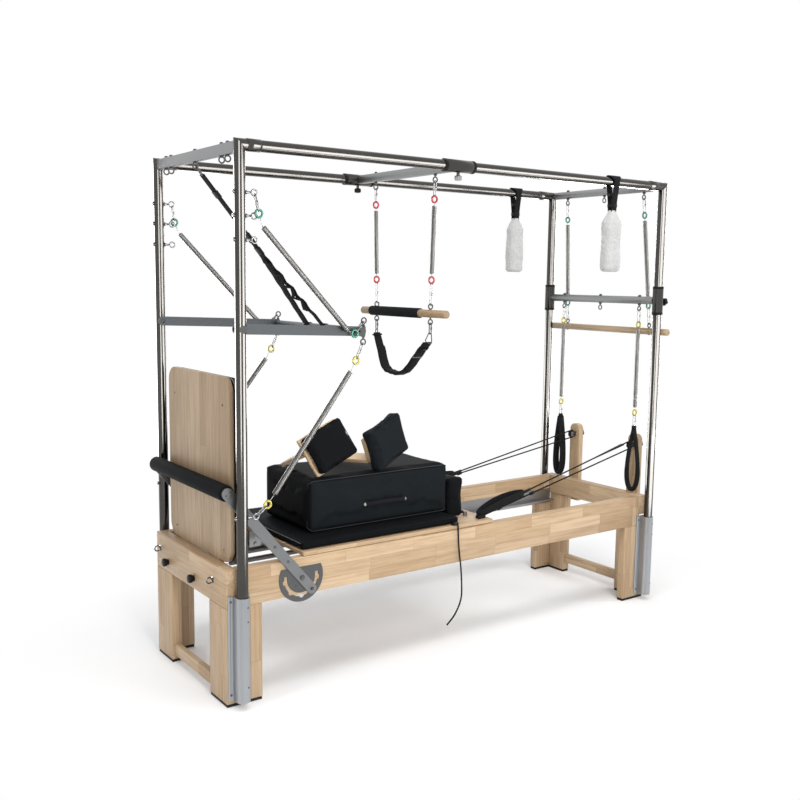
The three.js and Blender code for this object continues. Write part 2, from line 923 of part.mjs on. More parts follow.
function trackFrame() {
  const from = footInnerX + trackEndGap;
  const to = headInnerX - trackEndGap;
  const parts = [-1, 1].flatMap((side) => {
    const web = [side * (innerY - seatGap), side * (innerY - seatGap - trackWeb)].sort((a, b) => a - b);
    const ledge = [side * (innerY - seatGap), side * (innerY - seatGap - trackLedge)].sort((a, b) => a - b);
    return [
      board(from, to, ...web, trackBottom, trackBottom + trackHeight),
      board(from, to, ...ledge, ledgeTop - trackLedgeThickness, ledgeTop),
    ];
  });
  const reach = innerY - seatGap - trackLedge / 2;
  const low = ledgeTop - trackLedgeThickness / 2 - gearBarHeight / 2;
  parts.push(board(
    gearBarX - gearBarWidth / 2,
    gearBarX + gearBarWidth / 2,
    -reach,
    reach,
    low,
    low + gearBarHeight,
  ));
  bedSpringPlaces().forEach((y) => {
    parts.push(rod(at(gearBarX, y, low + bite), at(gearBarX, y, low + gearBarHeight + gearHookRise), gearHookRadius, boltSides));
  });
  return fuse(parts);
}

function bedSpringPlaces() {
  const places = [];
  for (let i = 0; i < bedSpringCount; i += 1) {
    places.push(2 * bedSpringY * (i - (bedSpringCount - 1) / 2));
  }
  return places;
}

// Four springs from the gear bar's pegs to a bar under the carriage
const bedSpringHeight = ledgeTop - trackLedgeThickness / 2 + gearBarHeight / 2 + gearHookRise / 2;

function carriageSprings() {
  const places = bedSpringPlaces();
  const start = gearBarX + springRingRadius - springRingWire - gearHookRadius - hookGap;
  const barX = gearBarX + bedSpringLength;
  const parts = places.flatMap((y, i) => {
    const ringCentre = at(start, y, bedSpringHeight);
    const from = at(start + springRingRadius, y, bedSpringHeight);
    const to = at(barX, y, bedSpringHeight);
    return [
      ring(ringCentre, along.z, springRingRadius, springRingWire),
      coil(`carriage spring ${i + 1}`, from, to, springBarReach, bedCurls),
    ];
  });
  const reach = bedSpringY * bedSpringCount;
  parts.push(board(
    barX - springBarHalfWidth,
    barX + springBarHalfWidth,
    -reach,
    reach,
    bedSpringHeight - springBarHalfWidth,
    carriageBottom - seatGap,
  ));
  return fuse(parts);
}

// Carriage: ply platform with four wheels on hangers, and the guide for the rope's end
const carriageBottom = railTop + carriageRideGap;
const carriageTop = carriageBottom + carriageThickness;

function carriagePlatform() {
  const head = carriageFoot + carriageLength;
  const deck = outline(roundedRectangle(carriageFoot, -carriageHalfWidth, head, carriageHalfWidth, boardRound));
  const axleZ = ledgeTop + seatGap + wheelRadius;
  const wheelOuter = innerY - seatGap - trackWeb - slideGap;
  const parts = [extrudeZ(deck, carriageBottom, carriageTop)];
  [carriageFoot + wheelInset, head - wheelInset].forEach((x) => [-1, 1].forEach((side) => {
    const wheelInner = wheelOuter - wheelWidth;
    parts.push(rod(at(x, side * wheelInner, axleZ), at(x, side * wheelOuter, axleZ), wheelRadius, rodSides));
    const ys = [side * (wheelInner - wheelHangerWidth), side * (wheelInner + bite)].sort((a, b) => a - b);
    parts.push(board(
      x - wheelHangerLength / 2,
      x + wheelHangerLength / 2,
      ...ys,
      axleZ - wheelDrop + bite,
      carriageBottom + bite,
    ));
  }));
  const guideY = -carriageHalfWidth - cordGuideReach;
  parts.push(board(
    cordGuideX - cordGuideLength / 2,
    cordGuideX + cordGuideLength / 2,
    guideY,
    -matHalfWidth - seatGap,
    carriageTop - bite,
    carriageTop + cordGuideHeight,
  ));
  const pinX = headrestFoot + headrestLength + headrestPinStandoff;
  [-1, 1].forEach((side) => {
    const y = side * headrestLugY;
    parts.push(board(
      pinX - headrestLugHalf,
      pinX + headrestLugHalf,
      y - headrestLugWidth / 2,
      y + headrestLugWidth / 2,
      carriageTop - bite,
      carriageTop + headrestPinRise + headrestLugHalf,
    ));
  });
  const bores = [-1, 1].map((side) => rod(
    at(pinX, side * (headrestLugY - headrestLugWidth), carriageTop + headrestPinRise),
    at(pinX, side * (headrestLugY + headrestLugWidth), carriageTop + headrestPinRise),
    headrestPinRadius + slideGap,
    boltSides,
  ));
  return cut(fuse(parts), bores);
}

function carriageMat() {
  const form = cushion(matLength, 2 * matHalfWidth, matThickness, matEdge, matCrown, matTuck, [4, 4, 3]);
  return form.translate(carriageFoot + matLength / 2, 0, carriageTop + seatGap + matThickness / 2);
}

// Headrest: a stuffed block that folds toward the head end on two pins
const headrestFoot = carriageFoot + matLength + headrestGap;
const headrestLugY = headrestHalfWidth - headrestLugWidth;

function headrest() {
  const block = cushion(headrestLength, 2 * headrestHalfWidth, headrestHeight, headrestEdge, headrestCrown, 0, [3, 4, 3]);
  block.translate(
    headrestFoot + headrestLength / 2,
    0,
    carriageTop + seatGap + headrestHeight / 2,
  );
  const pinX = headrestFoot + headrestLength + headrestPinStandoff;
  const pinZ = carriageTop + headrestPinRise;
  const inner = headrestLugY - headrestLugWidth / 2 - seatGap;
  const parts = [block];
  [-1, 1].forEach((side) => {
    parts.push(rod(at(pinX, side * (inner - 2 * headrestLugWidth), pinZ), at(pinX, side * (inner + headrestLugWidth), pinZ), headrestPinRadius, boltSides));
    const ys = [side * (inner - 2 * headrestLugWidth), side * (inner - headrestLugWidth)].sort((a, b) => a - b);
    parts.push(board(
      headrestFoot + headrestLength - headrestEdge,
      pinX + headrestPinRadius,
      ...ys,
      pinZ - headrestPinRadius,
      pinZ + 2 * headrestPinRadius,
    ));
  });
  return fuse(parts);
}

// Sitting box with a strap handle on its near side
const matTop = carriageTop + seatGap + matThickness + matCrown;
const boxFoot = carriageFoot + boxOffsetX;
const boxBottom = matTop + seatGap;
const boxTop = boxBottom + boxHeight;

function sittingBox() {
  const body = cushion(boxLength, boxWidth, boxHeight, boxEdge, boxCrown, 0, [4, 4, 3]);
  body.translate(boxFoot + boxLength / 2, boxOffsetY, boxBottom + boxHeight / 2);
  const faceY = boxOffsetY - boxWidth / 2;
  const middle = boxFoot + boxLength / 2 - handleShift;
  const half = handleSpan / 2;
  const line = [
    at(middle - half, faceY + bite, boxBottom + handleRise),
    at(middle - half, faceY - handleThickness, boxBottom + handleRise),
    at(middle - half / 2, faceY - handleStandoff, boxBottom + handleRise),
    at(middle + half / 2, faceY - handleStandoff, boxBottom + handleRise),
    at(middle + half, faceY - handleThickness, boxBottom + handleRise),
    at(middle + half, faceY + bite, boxBottom + handleRise),
  ];
  return fuse([body, sweep(line, stripSection(handleWidth, handleThickness), along.z)]);
}

// Lowers a piece until its nearest point is the seat gap above what carries it
function seated(body, support) {
  const ray = new THREE.Raycaster();
  const carrier = new THREE.Mesh(support);
  const place = body.attributes.position;
  let least = Infinity;
  for (let i = 0; i < place.count; i += 1) {
    ray.set(at(place.getX(i), place.getY(i), place.getZ(i)), at(0, 0, -1));
    const hits = ray.intersectObject(carrier);
    if (hits.length > 0) least = Math.min(least, hits[0].distance);
  }
  return body.translate(0, 0, seatGap - least);
}

// A shoulder rest: a stuffed pad on a ply back, with a ply foot behind it, tipped over on the box
function shoulderRest(place, support) {
  const pad = cushion(restLength, restWidth, restPad, restEdge, restCrown, 0, [4, 3, 3]);
  pad.translate(0, 0, restPad / 2 + restPly - bite);
  const back = extrudeZ(outline(roundedRectangle(
    -restLength / 2,
    -restWidth / 2,
    restLength / 2,
    restWidth / 2,
    boardRound,
  )), 0, restPly);
  const footEnd = restEdge - restLength / 2;
  const low = place.footShift - restFootThickness / 2;
  const foot = board(
    footEnd,
    footEnd + restFootWidth,
    low,
    low + restFootThickness,
    -restFootLength,
    restPly / 2,
  );
  const block = board(
    footEnd,
    footEnd + restFootWidth,
    Math.min(low, -place.footShift),
    Math.max(low + restFootThickness, -place.footShift),
    -restBlock,
    restPly / 2,
  );
  const body = geometryOf(fuse([pad, back, foot, block]));
  body.rotateZ(turn(place.rollDegrees));
  body.rotateX(turn(place.pitchDegrees));
  body.rotateZ(turn(place.yawDegrees));
  body.translate(
    boxFoot + place.alongShare * boxLength,
    boxOffsetY + (place.acrossShare - 1 / 2) * boxWidth,
    boxTop + restLength,
  );
  return seated(body, support);
}

// Jump board: a drilled ply panel with a pad on its head side and two tongues inside the end rail
function jumpBoard() {
  const back = footInnerX + seatGap;
  const face = back + jumpThickness;
  const bottom = railTop + seatGap;
  const panel = extrudeX(
    outline(roundedRectangle(-jumpHalfWidth, bottom, jumpHalfWidth, jumpTop, jumpRound, roundSteps)),
    back,
    face,
  );
  const padHalf = jumpHalfWidth - jumpPadMargin;
  const padHeight = jumpTop - bottom - 2 * jumpPadMargin;
  const pad = cushion(padHeight, 2 * padHalf, jumpPadThickness, jumpPadEdge, jumpPadCrown, 0, [4, 4, 3]);
  pad.rotateY(Math.PI / 2);
  pad.translate(face + jumpPadThickness / 2 - bite / 2, 0, (jumpTop + bottom) / 2);
  const corners = extrudeX(
    outline(roundedRectangle(-padHalf, bottom + jumpPadMargin, padHalf, jumpTop - jumpPadMargin, jumpRound, roundSteps)),
    back,
    face + jumpPadThickness + jumpPadCrown,
  );
  const tabs = [-1, 1].map((side) => board(
    back,
    face,
    side * jumpTabY - jumpTabWidth / 2,
    side * jumpTabY + jumpTabWidth / 2,
    bottom - jumpTabDepth,
    bottom + jumpTabDepth,
  ));
  const drills = [-1, 1].flatMap((side) => [jumpTop - jumpHoleTop, bottom + jumpHoleBottom].map((z) => rod(
    at(back - overrun, side * jumpHoleY, z),
    at(face - bite, side * jumpHoleY, z),
    jumpHoleRadius,
    boltSides,
  )));
  const rounded = solid(pad).intersect(solid(corners));
  return cut(fuse([panel, ...tabs]).add(rounded), drills);
}

// Foot bar: a padded roll between two flat arms that pivot on notched plates
const armInner = railY + seatGap + barPlateThickness + barArmGap;
const armOuter = armInner + barArmThickness;
const barAngle = Math.atan2(barRollZ - barPivotZ, barRollX - barPivotX);
const barPin = at(
  barPivotX - barPinReach * Math.cos(barAngle),
  0,
  barPivotZ - barPinReach * Math.sin(barAngle),
);

function footBar() {
  const half = barArmWidth / 2;
  const lean = barAngle;
  const armOutline = [
    ...arc(barRollX, barRollZ, half, lean - Math.PI / 2, lean + Math.PI / 2, 2 * roundSteps),
    ...arc(barPin.x, barPin.z, barTail, lean + Math.PI / 2, lean + (3 * Math.PI) / 2, 2 * roundSteps),
  ];
  const parts = [];
  [-1, 1].forEach((side) => {
    const ys = (near, far) => [side * near, side * far].sort((a, b) => a - b);
    parts.push(extrudeY(outline(armOutline), ...ys(armInner, armOuter)));
    const bolt = (x, z, from, to, radius, sides) => rod(at(x, side * from, z), at(x, side * to, z), radius, sides);
    const plateInner = railY + seatGap;
    parts.push(bolt(barPivotX, barPivotZ, plateInner, armOuter + barHubThickness, barHubRadius, rodSides));
    parts.push(bolt(barPin.x, barPin.z, plateInner, armOuter + barHubThickness, lockPinRadius, boltSides));
    parts.push(bolt(barRollX, barRollZ, armOuter - bite, armOuter + barHubThickness / 2, barCapRadius, rodSides));
  });
  const core = extrudeY(outline(circle(barRollX, barRollZ, barRollRadius / 2, tailSides)), -armInner - bite, armInner + bite);
  return fuse([...parts, core]);
}

function footRoll() {
  const edge = boardRound * 2;
  const reach = armInner - seatGap;
  const hollow = barRollRadius / 2 + seatGap;
  const profile = [
    [hollow, -reach],
    [barRollRadius - edge, -reach],
    [barRollRadius, edge - reach],
    [barRollRadius, reach - edge],
    [barRollRadius - edge, reach],
    [hollow, reach],
    [hollow, -reach],
  ];
  return revolve(profile, at(barRollX, 0, barRollZ), along.y);
}

function barPlate(side) {
  const ys = [side * (railY + seatGap), side * (railY + seatGap + barPlateThickness)].sort((a, b) => a - b);
  const cutYs = [ys[0] - overrun, ys[1] + overrun];
  const dip = Math.asin(barPlateRise / barPlateRadius);
  const edge = arc(barPivotX, barPivotZ, barPlateRadius, Math.PI - dip, 2 * Math.PI + dip, arcSteps);
  const from = turn(slotStartDegrees);
  const to = turn(slotEndDegrees);
  const slot = outline([
    ...arc(barPivotX, barPivotZ, barPinReach - slotHalfWidth, from, to, arcSteps),
    ...arc(barPivotX, barPivotZ, barPinReach + slotHalfWidth, to, from, arcSteps),
  ]);
  const cuts = [
    extrudeY(slot, ...cutYs),
    extrudeY(outline(circle(barPivotX, barPivotZ, barHubRadius + barHubGap, tubeSides)), ...cutYs),
  ];
  for (let i = 0; i < slotNotches; i += 1) {
    const angle = from + ((to - from) * (i + 0.5)) / slotNotches;
    const x = barPivotX + (barPinReach + slotHalfWidth / 2) * Math.cos(angle);
    const z = barPivotZ + (barPinReach + slotHalfWidth / 2) * Math.sin(angle);
    cuts.push(extrudeY(outline(circle(x, z, slotNotchRadius, tailSides)), ...cutYs));
  }
  return cut(solid(extrudeY(outline(edge), ...ys)), cuts);
}

// Push-through bar: drawn level, then dropped by its droop about the pivot
const pushArmOuter = postY - tubeRadius - pushArmGap;
const pushArmInner = pushArmOuter - pushArmThickness;
const pushEndX = pushReach + pushArmOverhang;

function fromPivot(x, y, z) {
  const droop = turn(pushDroopDegrees);
  return at(
    footPostX + x * Math.cos(droop) + z * Math.sin(droop),
    y,
    pushPivotHeight - x * Math.sin(droop) + z * Math.cos(droop),
  );
}

function pushBar() {
  const parts = [];
  const half = pushArmHeight / 2;
  const armY = (pushArmInner + pushArmOuter) / 2;
  [-1, 1].forEach((side) => {
    const ys = [side * pushArmInner, side * pushArmOuter].sort((a, b) => a - b);
    parts.push(extrudeY(outline([
      ...arc(-pushTail + half, 0, half, Math.PI / 2, (3 * Math.PI) / 2, 2 * roundSteps),
      [pushEndX, -half],
      [pushEndX, half],
    ]), ...ys));
    const across = (x, z, from, to, radius, sides) => rod(at(x, side * from, z), at(x, side * to, z), radius, sides);
    const outside = postY + tubeRadius + pushArmGap;
    parts.push(across(0, 0, pushArmInner, outside + pushWasherThickness / 2, pushPinRadius, tailSides));
    parts.push(across(0, 0, outside, outside + pushWasherThickness, pushWasherRadius, rodSides));
    const hookX = pushReach - pushHookInset;
    parts.push(across(hookX, 0, pushArmOuter - bite, pushArmOuter + pushHookLength, pushHookRadius, boltSides));
    const eyeX = pushEndX - pushEyeInset;
    parts.push(ring(at(eyeX, side * armY, pushEyeStandoff), along.y, eyeRadius, eyeWire));
    parts.push(ring(at(eyeX, side * armY, -pushEyeStandoff), along.y, eyeRadius, eyeWire));
    parts.push(rod(
      at(eyeX, side * armY, eyeRadius - pushEyeStandoff),
      at(eyeX, side * armY, pushEyeStandoff - eyeRadius),
      boltRadius,
      stemSides,
    ));
  });
  parts.push(extrudeY(outline(circle(pushReach, 0, pushCrossRadius, tubeSides)), -pushArmInner - bite, pushArmInner + bite));
  const droop = turn(pushDroopDegrees);
  parts.forEach((part) => part.rotateY(droop).translate(footPostX, 0, pushPivotHeight));
  return fuse(parts);
}

// Where a ring hangs on an eye, and where a link does, with the hook gap between their wires
const ringOnEye = eyeRadius - eyeWire - springRingWire - hookGap + springRingRadius;
const linkOnEye = eyeRadius - eyeWire - linkWire - linkGap;

function pushSpring(name, eye, target, targetIsPin) {
  const way = target.clone().sub(eye).normalize();
  const normal = way.clone().cross(along.y).normalize();
  const reach = targetIsPin
    ? springRingRadius - springRingWire - pushHookRadius - hookGap
    : ringOnEye;
  const top = eye.clone().addScaledVector(way, ringOnEye);
  const bottom = target.clone().addScaledVector(way, -reach);
  const from = top.clone().addScaledVector(way, springRingRadius);
  const to = bottom.clone().addScaledVector(way, -springRingRadius);
  return fuse([
    ring(top, normal, springRingRadius, springRingWire),
    ring(bottom, targetIsPin ? along.y : normal, springRingRadius, springRingWire),
    coil(name, from, to, 2 * springRingRadius, hangCurls),
  ]);
}

function upperSpring(side) {
  const eye = at(footPostX + postEyeReach, side * postY, postEyeHeights.spring);
  const hook = fromPivot(pushReach - pushHookInset, side * (pushArmOuter + pushHookLength / 2), 0);
  return pushSpring(`upper spring ${side}`, eye, hook, true);
}

function lowerSpring(side) {
  const armY = (pushArmInner + pushArmOuter) / 2;
  const eye = fromPivot(pushEndX - pushEyeInset, side * armY, -pushEyeStandoff);
  const low = at(footPostX + postEyeReach, side * postY, postEyeHeights.low);
  return pushSpring(`lower spring ${side}`, eye, low, false);
}

// Safety strap: one strap from the foot crossbar's middle eye that forks to two loops on the bar
function safetyStrap() {
  const eyeZ = canopyHeight - footBarDrop - footBarHeight / 2 - eyeRadius - eyeWire;
  const cross = fromPivot(pushReach, 0, 0);
  const way = cross.clone().sub(at(footPostX, 0, eyeZ)).normalize();
  const hookNormal = way.clone().cross(along.y).normalize();
  const linkTop = at(footPostX, 0, eyeZ).addScaledVector(way, linkOnEye);
  const linkBottom = linkTop.clone().addScaledVector(way, strapLinkLength);
  const fork = linkTop.clone().lerp(cross, strapForkShare);
  const loopRadius = pushCrossRadius + strapLoopWall / 2 + strapLoopGap;
  const parts = [
    link(linkTop, linkBottom, hookNormal),
    sweep([linkBottom.clone().addScaledVector(way, -linkWire), fork], stripSection(strapWidth, strapThickness), along.y),
    rod(
      fork.clone().addScaledVector(way, -buckleLength / 2),
      fork.clone().addScaledVector(way, buckleLength / 2),
      buckleThickness,
      stemSides,
    ),
  ];
  [-1, 1].forEach((side) => {
    const middle = cross.clone().setY(side * strapLoopY);
    const loopEnd = middle.clone().addScaledVector(way, -loopRadius);
    parts.push(sweep([fork.clone(), loopEnd], stripSection(strapWidth, strapThickness), along.y));
    const band = circle(middle.x, middle.z, loopRadius, tailSides).map(([x, z]) => at(x, middle.y, z));
    parts.push(sweep(band, stripSection(strapWidth, strapLoopWall), along.y, true));
  });
  return fuse(parts);
}

// Trapeze carrier: a crossbar between two collars that slide on the top rails
const carrierEyeHeight = canopyHeight - carrierBarHeight / 2 - eyeDrop;

function trapezeCarrier() {
  const half = carrierBarThickness / 2;
  const section = outline(roundedRectangle(
    carrierX - half,
    canopyHeight - carrierBarHeight / 2,
    carrierX + half,
    canopyHeight + carrierBarHeight / 2,
    boardRound,
  ));
  const reach = postY - collarBore - bite / 2;
  const farFace = canopyHeight + carrierBarHeight / 2 - carrierEyeHeight;
  const bar = fuse([
    extrudeY(section, -reach, reach),
    ...[-1, 1].flatMap((side) => eyebolt(
      at(carrierX, side * carrierEyeY, carrierEyeHeight),
      along.z,
      farFace,
    )),
  ]);
  const collars = [-1, 1].map((side) => collar(at(carrierX, side * postY, canopyHeight), along.x, carrierCollarLength));
  return collars.reduce((whole, next) => whole.add(next), bar);
}

// A hanging line: link, ring, coil, ring, link, between an upper and a lower eye
function hanger(name, upper, lower, ringTopZ, ringBottomZ) {
  const way = lower.clone().sub(upper).normalize();
  const onLine = (z) => upper.clone().addScaledVector(way, (z - upper.z) / way.z);
  const ringTop = onLine(ringTopZ);
  const ringBottom = onLine(ringBottomZ);
  const linkNormal = way.clone().cross(along.y).normalize();
  return [
    link(upper.clone().addScaledVector(way, linkOnEye), ringTop.clone().addScaledVector(way, -springRingRadius), linkNormal),
    ring(ringTop, along.y, springRingRadius, springRingWire),
    coil(
      name,
      ringTop.clone().addScaledVector(way, springRingRadius),
      ringBottom.clone().addScaledVector(way, -springRingRadius),
      springRingRadius,
      hangCurls,
    ),
    ring(ringBottom, along.y, springRingRadius, springRingWire),
    link(ringBottom.clone().addScaledVector(way, springRingRadius), lower.clone().addScaledVector(way, -linkOnEye), linkNormal),
  ];
}

const trapezeEyeTop = trapezeHeight + trapezeRadius + eyeRadius + eyeWire;
const trapezeEyeLow = trapezeHeight - foamRadius - eyeRadius - eyeWire;

function trapezeSpring(side) {
  return fuse(hanger(
    `trapeze spring ${side}`,
    at(carrierX, side * carrierEyeY, carrierEyeHeight),
    at(carrierX, side * trapezeEyeY, trapezeEyeTop),
    trapezeRingTop,
    trapezeRingBottom,
  ));
}

function trapezeBar() {
  const parts = [
    extrudeY(outline(circle(carrierX, trapezeHeight, trapezeRadius, woodSides)), -trapezeHalfLength, trapezeHalfLength),
    extrudeY(outline(circle(carrierX, trapezeHeight, foamRadius, tubeSides)), foamNear, foamFar),
  ];
  [-1, 1].forEach((side) => {
    parts.push(ring(at(carrierX, side * trapezeEyeY, trapezeEyeTop), along.y, eyeRadius, eyeWire));
    parts.push(ring(at(carrierX, side * trapezeEyeY, trapezeEyeLow), along.y, eyeRadius, eyeWire));
    parts.push(rod(
      at(carrierX, side * trapezeEyeY, trapezeEyeTop - eyeRadius),
      at(carrierX, side * trapezeEyeY, trapezeEyeLow + eyeRadius),
      boltRadius,
      stemSides,
    ));
  });
  return fuse(parts);
}

function trapezeSling() {
  const parts = [];
  [-1, 1].forEach((side) => {
    const hook = at(carrierX, side * trapezeEyeY, trapezeEyeLow - linkOnEye);
    parts.push(link(hook, at(carrierX, side * trapezeEyeY, slingTop), along.x));
  });
  const line = [];
  const depth = slingTop - slingBottom - slingThickness / 2;
  for (let i = 0; i <= 2 * slingPoints; i += 1) {
    const angle = (Math.PI * i) / (2 * slingPoints);
    line.push(at(
      carrierX,
      trapezeEyeY * Math.cos(angle),
      slingTop + linkWire - depth * Math.sin(angle) ** (1 / 2),
    ));
  }
  parts.push(sweep(line, stripSection(slingWidth, slingThickness), along.x));
  return fuse(parts);
}

// A fleece loop: a strap over the rail whose two runs go down inside a soft sleeve
function fleeceLoop(middleX, side) {
  const y = side * postY;
  const over = tubeRadius + fleeceStrapGap + fleeceStrapThickness / 2;
  const line = [];
  for (let i = 0; i <= 2 * roundSteps; i += 1) {
    const angle = (Math.PI * i) / (2 * roundSteps);
    line.push(at(middleX, y + over * Math.cos(angle), canopyHeight + over * Math.sin(angle)));
  }
  const low = fleeceTop - fleeceFold;
  line.push(at(middleX, y - fleeceStrapWidth / 4, low), at(middleX, y + fleeceStrapWidth / 4, low));
  const strap = sweep(line, stripSection(fleeceStrapWidth, fleeceStrapThickness), along.x, true);
  const height = fleeceTop - fleeceBottom;
  const sleeve = cushion(fleeceWidth, fleeceThickness, height, fleeceThickness / 3, fleeceFold, fleeceFold, [3, 3, 6]);
  const place = sleeve.attributes.position;
  for (let i = 0; i < place.count; i += 1) {
    const wave = Math.cos((2 * Math.PI * place.getZ(i)) / (height / 2));
    place.setX(i, place.getX(i) + (fleeceFold / 2) * wave * Math.sign(place.getX(i)));
  }
  sleeve.translate(middleX, y, (fleeceTop + fleeceBottom) / 2);
  return fuse([strap, sleeve]);
}

// Middle crossbar on two collars that slide on the head posts
function midCrossbar() {
  const reach = postY - collarBore - bite / 2;
  const bar = fuse(roundCrossbar(headPostAxisX, midBarHeight, reach));
  const collars = [-1, 1].map((side) => collar(at(headPostAxisX, side * postY, midBarHeight), along.z, midCollarLength));
  return collars.reduce((whole, next) => whole.add(next), bar);
}

// Roll-down bar: a dowel on two springs, leaning out over the middle crossbar
const rollBarX = headPostAxisX + rollBarOffset;
const rollEyeHeight = rollBarHeight + rollBarRadius + eyeRadius + eyeWire;

function rollDownBar() {
  const parts = [
    extrudeY(outline(circle(rollBarX, rollBarHeight, rollBarRadius, woodSides)), -rollBarHalfLength, rollBarHalfLength),
  ];
  [-1, 1].forEach((side) => {
    parts.push(ring(at(rollBarX, side * rollEyeY, rollEyeHeight), along.y, eyeRadius, eyeWire));
    parts.push(rod(
      at(rollBarX, side * rollEyeY, rollEyeHeight - eyeRadius),
      at(rollBarX, side * rollEyeY, rollBarHeight - rollBarRadius - eyeWire),
      boltRadius,
      stemSides,
    ));
  });
  return fuse(parts);
}

function rollDownSpring(side) {
  return fuse(hanger(
    `roll-down spring ${side}`,
    at(headPostAxisX, side * crossEyeY, crossEyeHeight(canopyHeight)),
    at(rollBarX, side * rollEyeY, rollEyeHeight),
    rollRingTop,
    rollRingBottom,
  ));
}

// Hand loop: a spring line with a padded loop under it
function handLoop(side) {
  const eye = at(headPostAxisX, side * crossEyeY, crossEyeHeight(midBarHeight));
  const neck = at(headPostAxisX, side * crossEyeY, handNeck - linkOnEye);
  const parts = hanger(`hand spring ${side}`, eye, neck, handRingTop, handRingBottom);
  const bottom = handLoopBottom + handPad;
  const line = [];
  const steps = 4 * roundSteps;
  for (let i = 0; i < steps; i += 1) {
    const angle = (2 * Math.PI * i) / steps;
    const drop = (1 - Math.cos(angle)) / 2;
    const width = Math.sin(angle) * (handWideShare + (1 - handWideShare) * drop) * Math.sqrt(drop + 1 / steps);
    line.push(at(
      headPostAxisX,
      side * crossEyeY + handLoopHalfWidth * width,
      handNeck - handNeckRadius + (bottom - handNeck + handNeckRadius) * drop,
    ));
  }
  const section = circle(0, 0, 1, boltSides).map(([u, v]) => [u * handPadFlat, v * handPad]);
  parts.push(sweep(line, section, along.x, true));
  parts.push(rod(
    at(headPostAxisX, side * crossEyeY, handNeck + linkWire),
    at(headPostAxisX, side * crossEyeY, handNeck - handNeckLength),
    handNeckRadius,
    tailSides,
  ));
  return fuse(parts);
}

// Riser with its pulley fork; the board stands on a block outside the head end rail
const riserX = headX + riserBlockDepth + seatGap;
const pulleyX = riserX - pulleyStandoff;

function riser(side) {
  const y = side * riserY;
  const half = riserWidth / 2;
  const face = outline([
    [y - half, riserBottom],
    [y + half, riserBottom],
    ...arc(y + half - riserRound, riserTop - riserRound, riserRound, 0, Math.PI / 2, roundSteps),
    ...arc(y - half + riserRound, riserTop - riserRound, riserRound, Math.PI / 2, Math.PI, roundSteps),
  ]);
  const parts = [extrudeX(face, riserX, riserX + riserThickness)];
  const cheekY = pulleyWidth / 2 + cheekGap;
  [-1, 1].forEach((cheek) => {
    const ys = [y + cheek * cheekY, y + cheek * (cheekY + cheekThickness)].sort((a, b) => a - b);
    parts.push(board(
      pulleyX - cheekHeight / 2,
      riserX + bite,
      ...ys,
      pulleyHeight - cheekHeight / 2,
      pulleyHeight + cheekHeight / 2,
    ));
  });
  parts.push(rod(
    at(pulleyX, y - cheekY - cheekThickness, pulleyHeight),
    at(pulleyX, y + cheekY + cheekThickness, pulleyHeight),
    pulleyAxleRadius,
  ));
  const knobSeat = at(riserX + riserThickness - bite, y, pulleyHeight);
  return fuse(parts).add(knob(knobSeat, along.x));
}

function pulley(side) {
  const half = pulleyWidth / 2;
  const profile = [
    [pulleyBore, -half],
    [pulleyRadius, -half],
    [pulleyRadius - pulleyGroove, 0],
    [pulleyRadius, half],
    [pulleyBore, half],
    [pulleyBore, -half],
  ];
  return revolve(profile, at(pulleyX, side * riserY, pulleyHeight), along.y);
}

// One rope: from its cleat on the carriage up round the pulley and back to a soft hand loop
function rope(side) {
  const cleatY = side * ropeCleatY;
  const wrap = pulleyRadius - pulleyGroove + ropeSeat;
  const cleatZ = carriageTop + seatGap + cleatHeight / 2;
  const line = [at(ropeCleatX, cleatY, cleatZ)];
  for (let i = 0; i <= 2 * roundSteps; i += 1) {
    const angle = -Math.PI / 2 + (Math.PI * i) / (2 * roundSteps);
    line.push(at(pulleyX + wrap * Math.cos(angle), side * riserY, pulleyHeight + wrap * Math.sin(angle)));
  }
  const hand = at(ropeHandX, side * ropeHandY, ropeHandZ);
  line.push(hand);
  const up = line[1].clone();
  const clip = line[0].clone().lerp(up, ropeClipShare);
  const clipEnd = clip.clone().addScaledVector(up.clone().sub(clip).normalize(), ropeClipLength);
  const lead = line[line.length - 2].clone().sub(hand).normalize();
  const loop = [];
  const steps = 4 * roundSteps;
  for (let i = 0; i < steps; i += 1) {
    const angle = (2 * Math.PI * i) / steps;
    const share = (1 - Math.cos(angle)) / 2;
    loop.push(at(
      ropeHandX - ropeLoopLength * share,
      side * ropeHandY - side * ropeLoopHalfWidth * Math.sin(angle),
      ropeHandZ - ropeLoopDrop * share ** 2,
    ));
  }
  return fuse([
    sweep(line, wireSection(ropeRadius, stemSides)),
    board(
      ropeCleatX - cleatLength / 2,
      ropeCleatX + cleatLength / 2,
      cleatY - cleatWidth / 2,
      cleatY + cleatWidth / 2,
      carriageTop + seatGap,
      carriageTop + seatGap + cleatHeight,
    ),
    rod(clip, clipEnd, ropeClipRadius, stemSides),
    rod(hand.clone().addScaledVector(lead, -ropeClipRadius), hand.clone().addScaledVector(lead, 2 * ropeClipLength), ropeClipRadius, stemSides),
    sweep(loop, wireSection(ropeLoopRadius, stemSides), along.z, true),
  ]);
}

// The rope's bare end hangs free from its guide on the carriage
function ropeTail() {
  const start = at(cordGuideX, -carriageHalfWidth - cordGuideReach - seatGap, carriageTop + cordGuideHeight / 2);
  const route = tailPoints.map(([x, out, up]) => at(start.x + x, start.y - out, start.z + up));
  const curve = new THREE.CatmullRomCurve3(route, false, 'centripetal');
  const section = outline(circle(0, 0, tailRadius, tailSides));
  return new THREE.ExtrudeGeometry(section, { steps: tailSteps, bevelEnabled: false, extrudePath: curve });
}

function plunger(y) {
  const knobForm = rod(at(footX - plungerLength, y, plungerHeight), at(footX - seatGap, y, plungerHeight), plungerKnob, rodSides);
  const pin = rod(at(footX - bite, y, plungerHeight), at(footX + plungerPinLength, y, plungerHeight), plungerPin, tailSides);
  return fuse([knobForm, pin]);
}

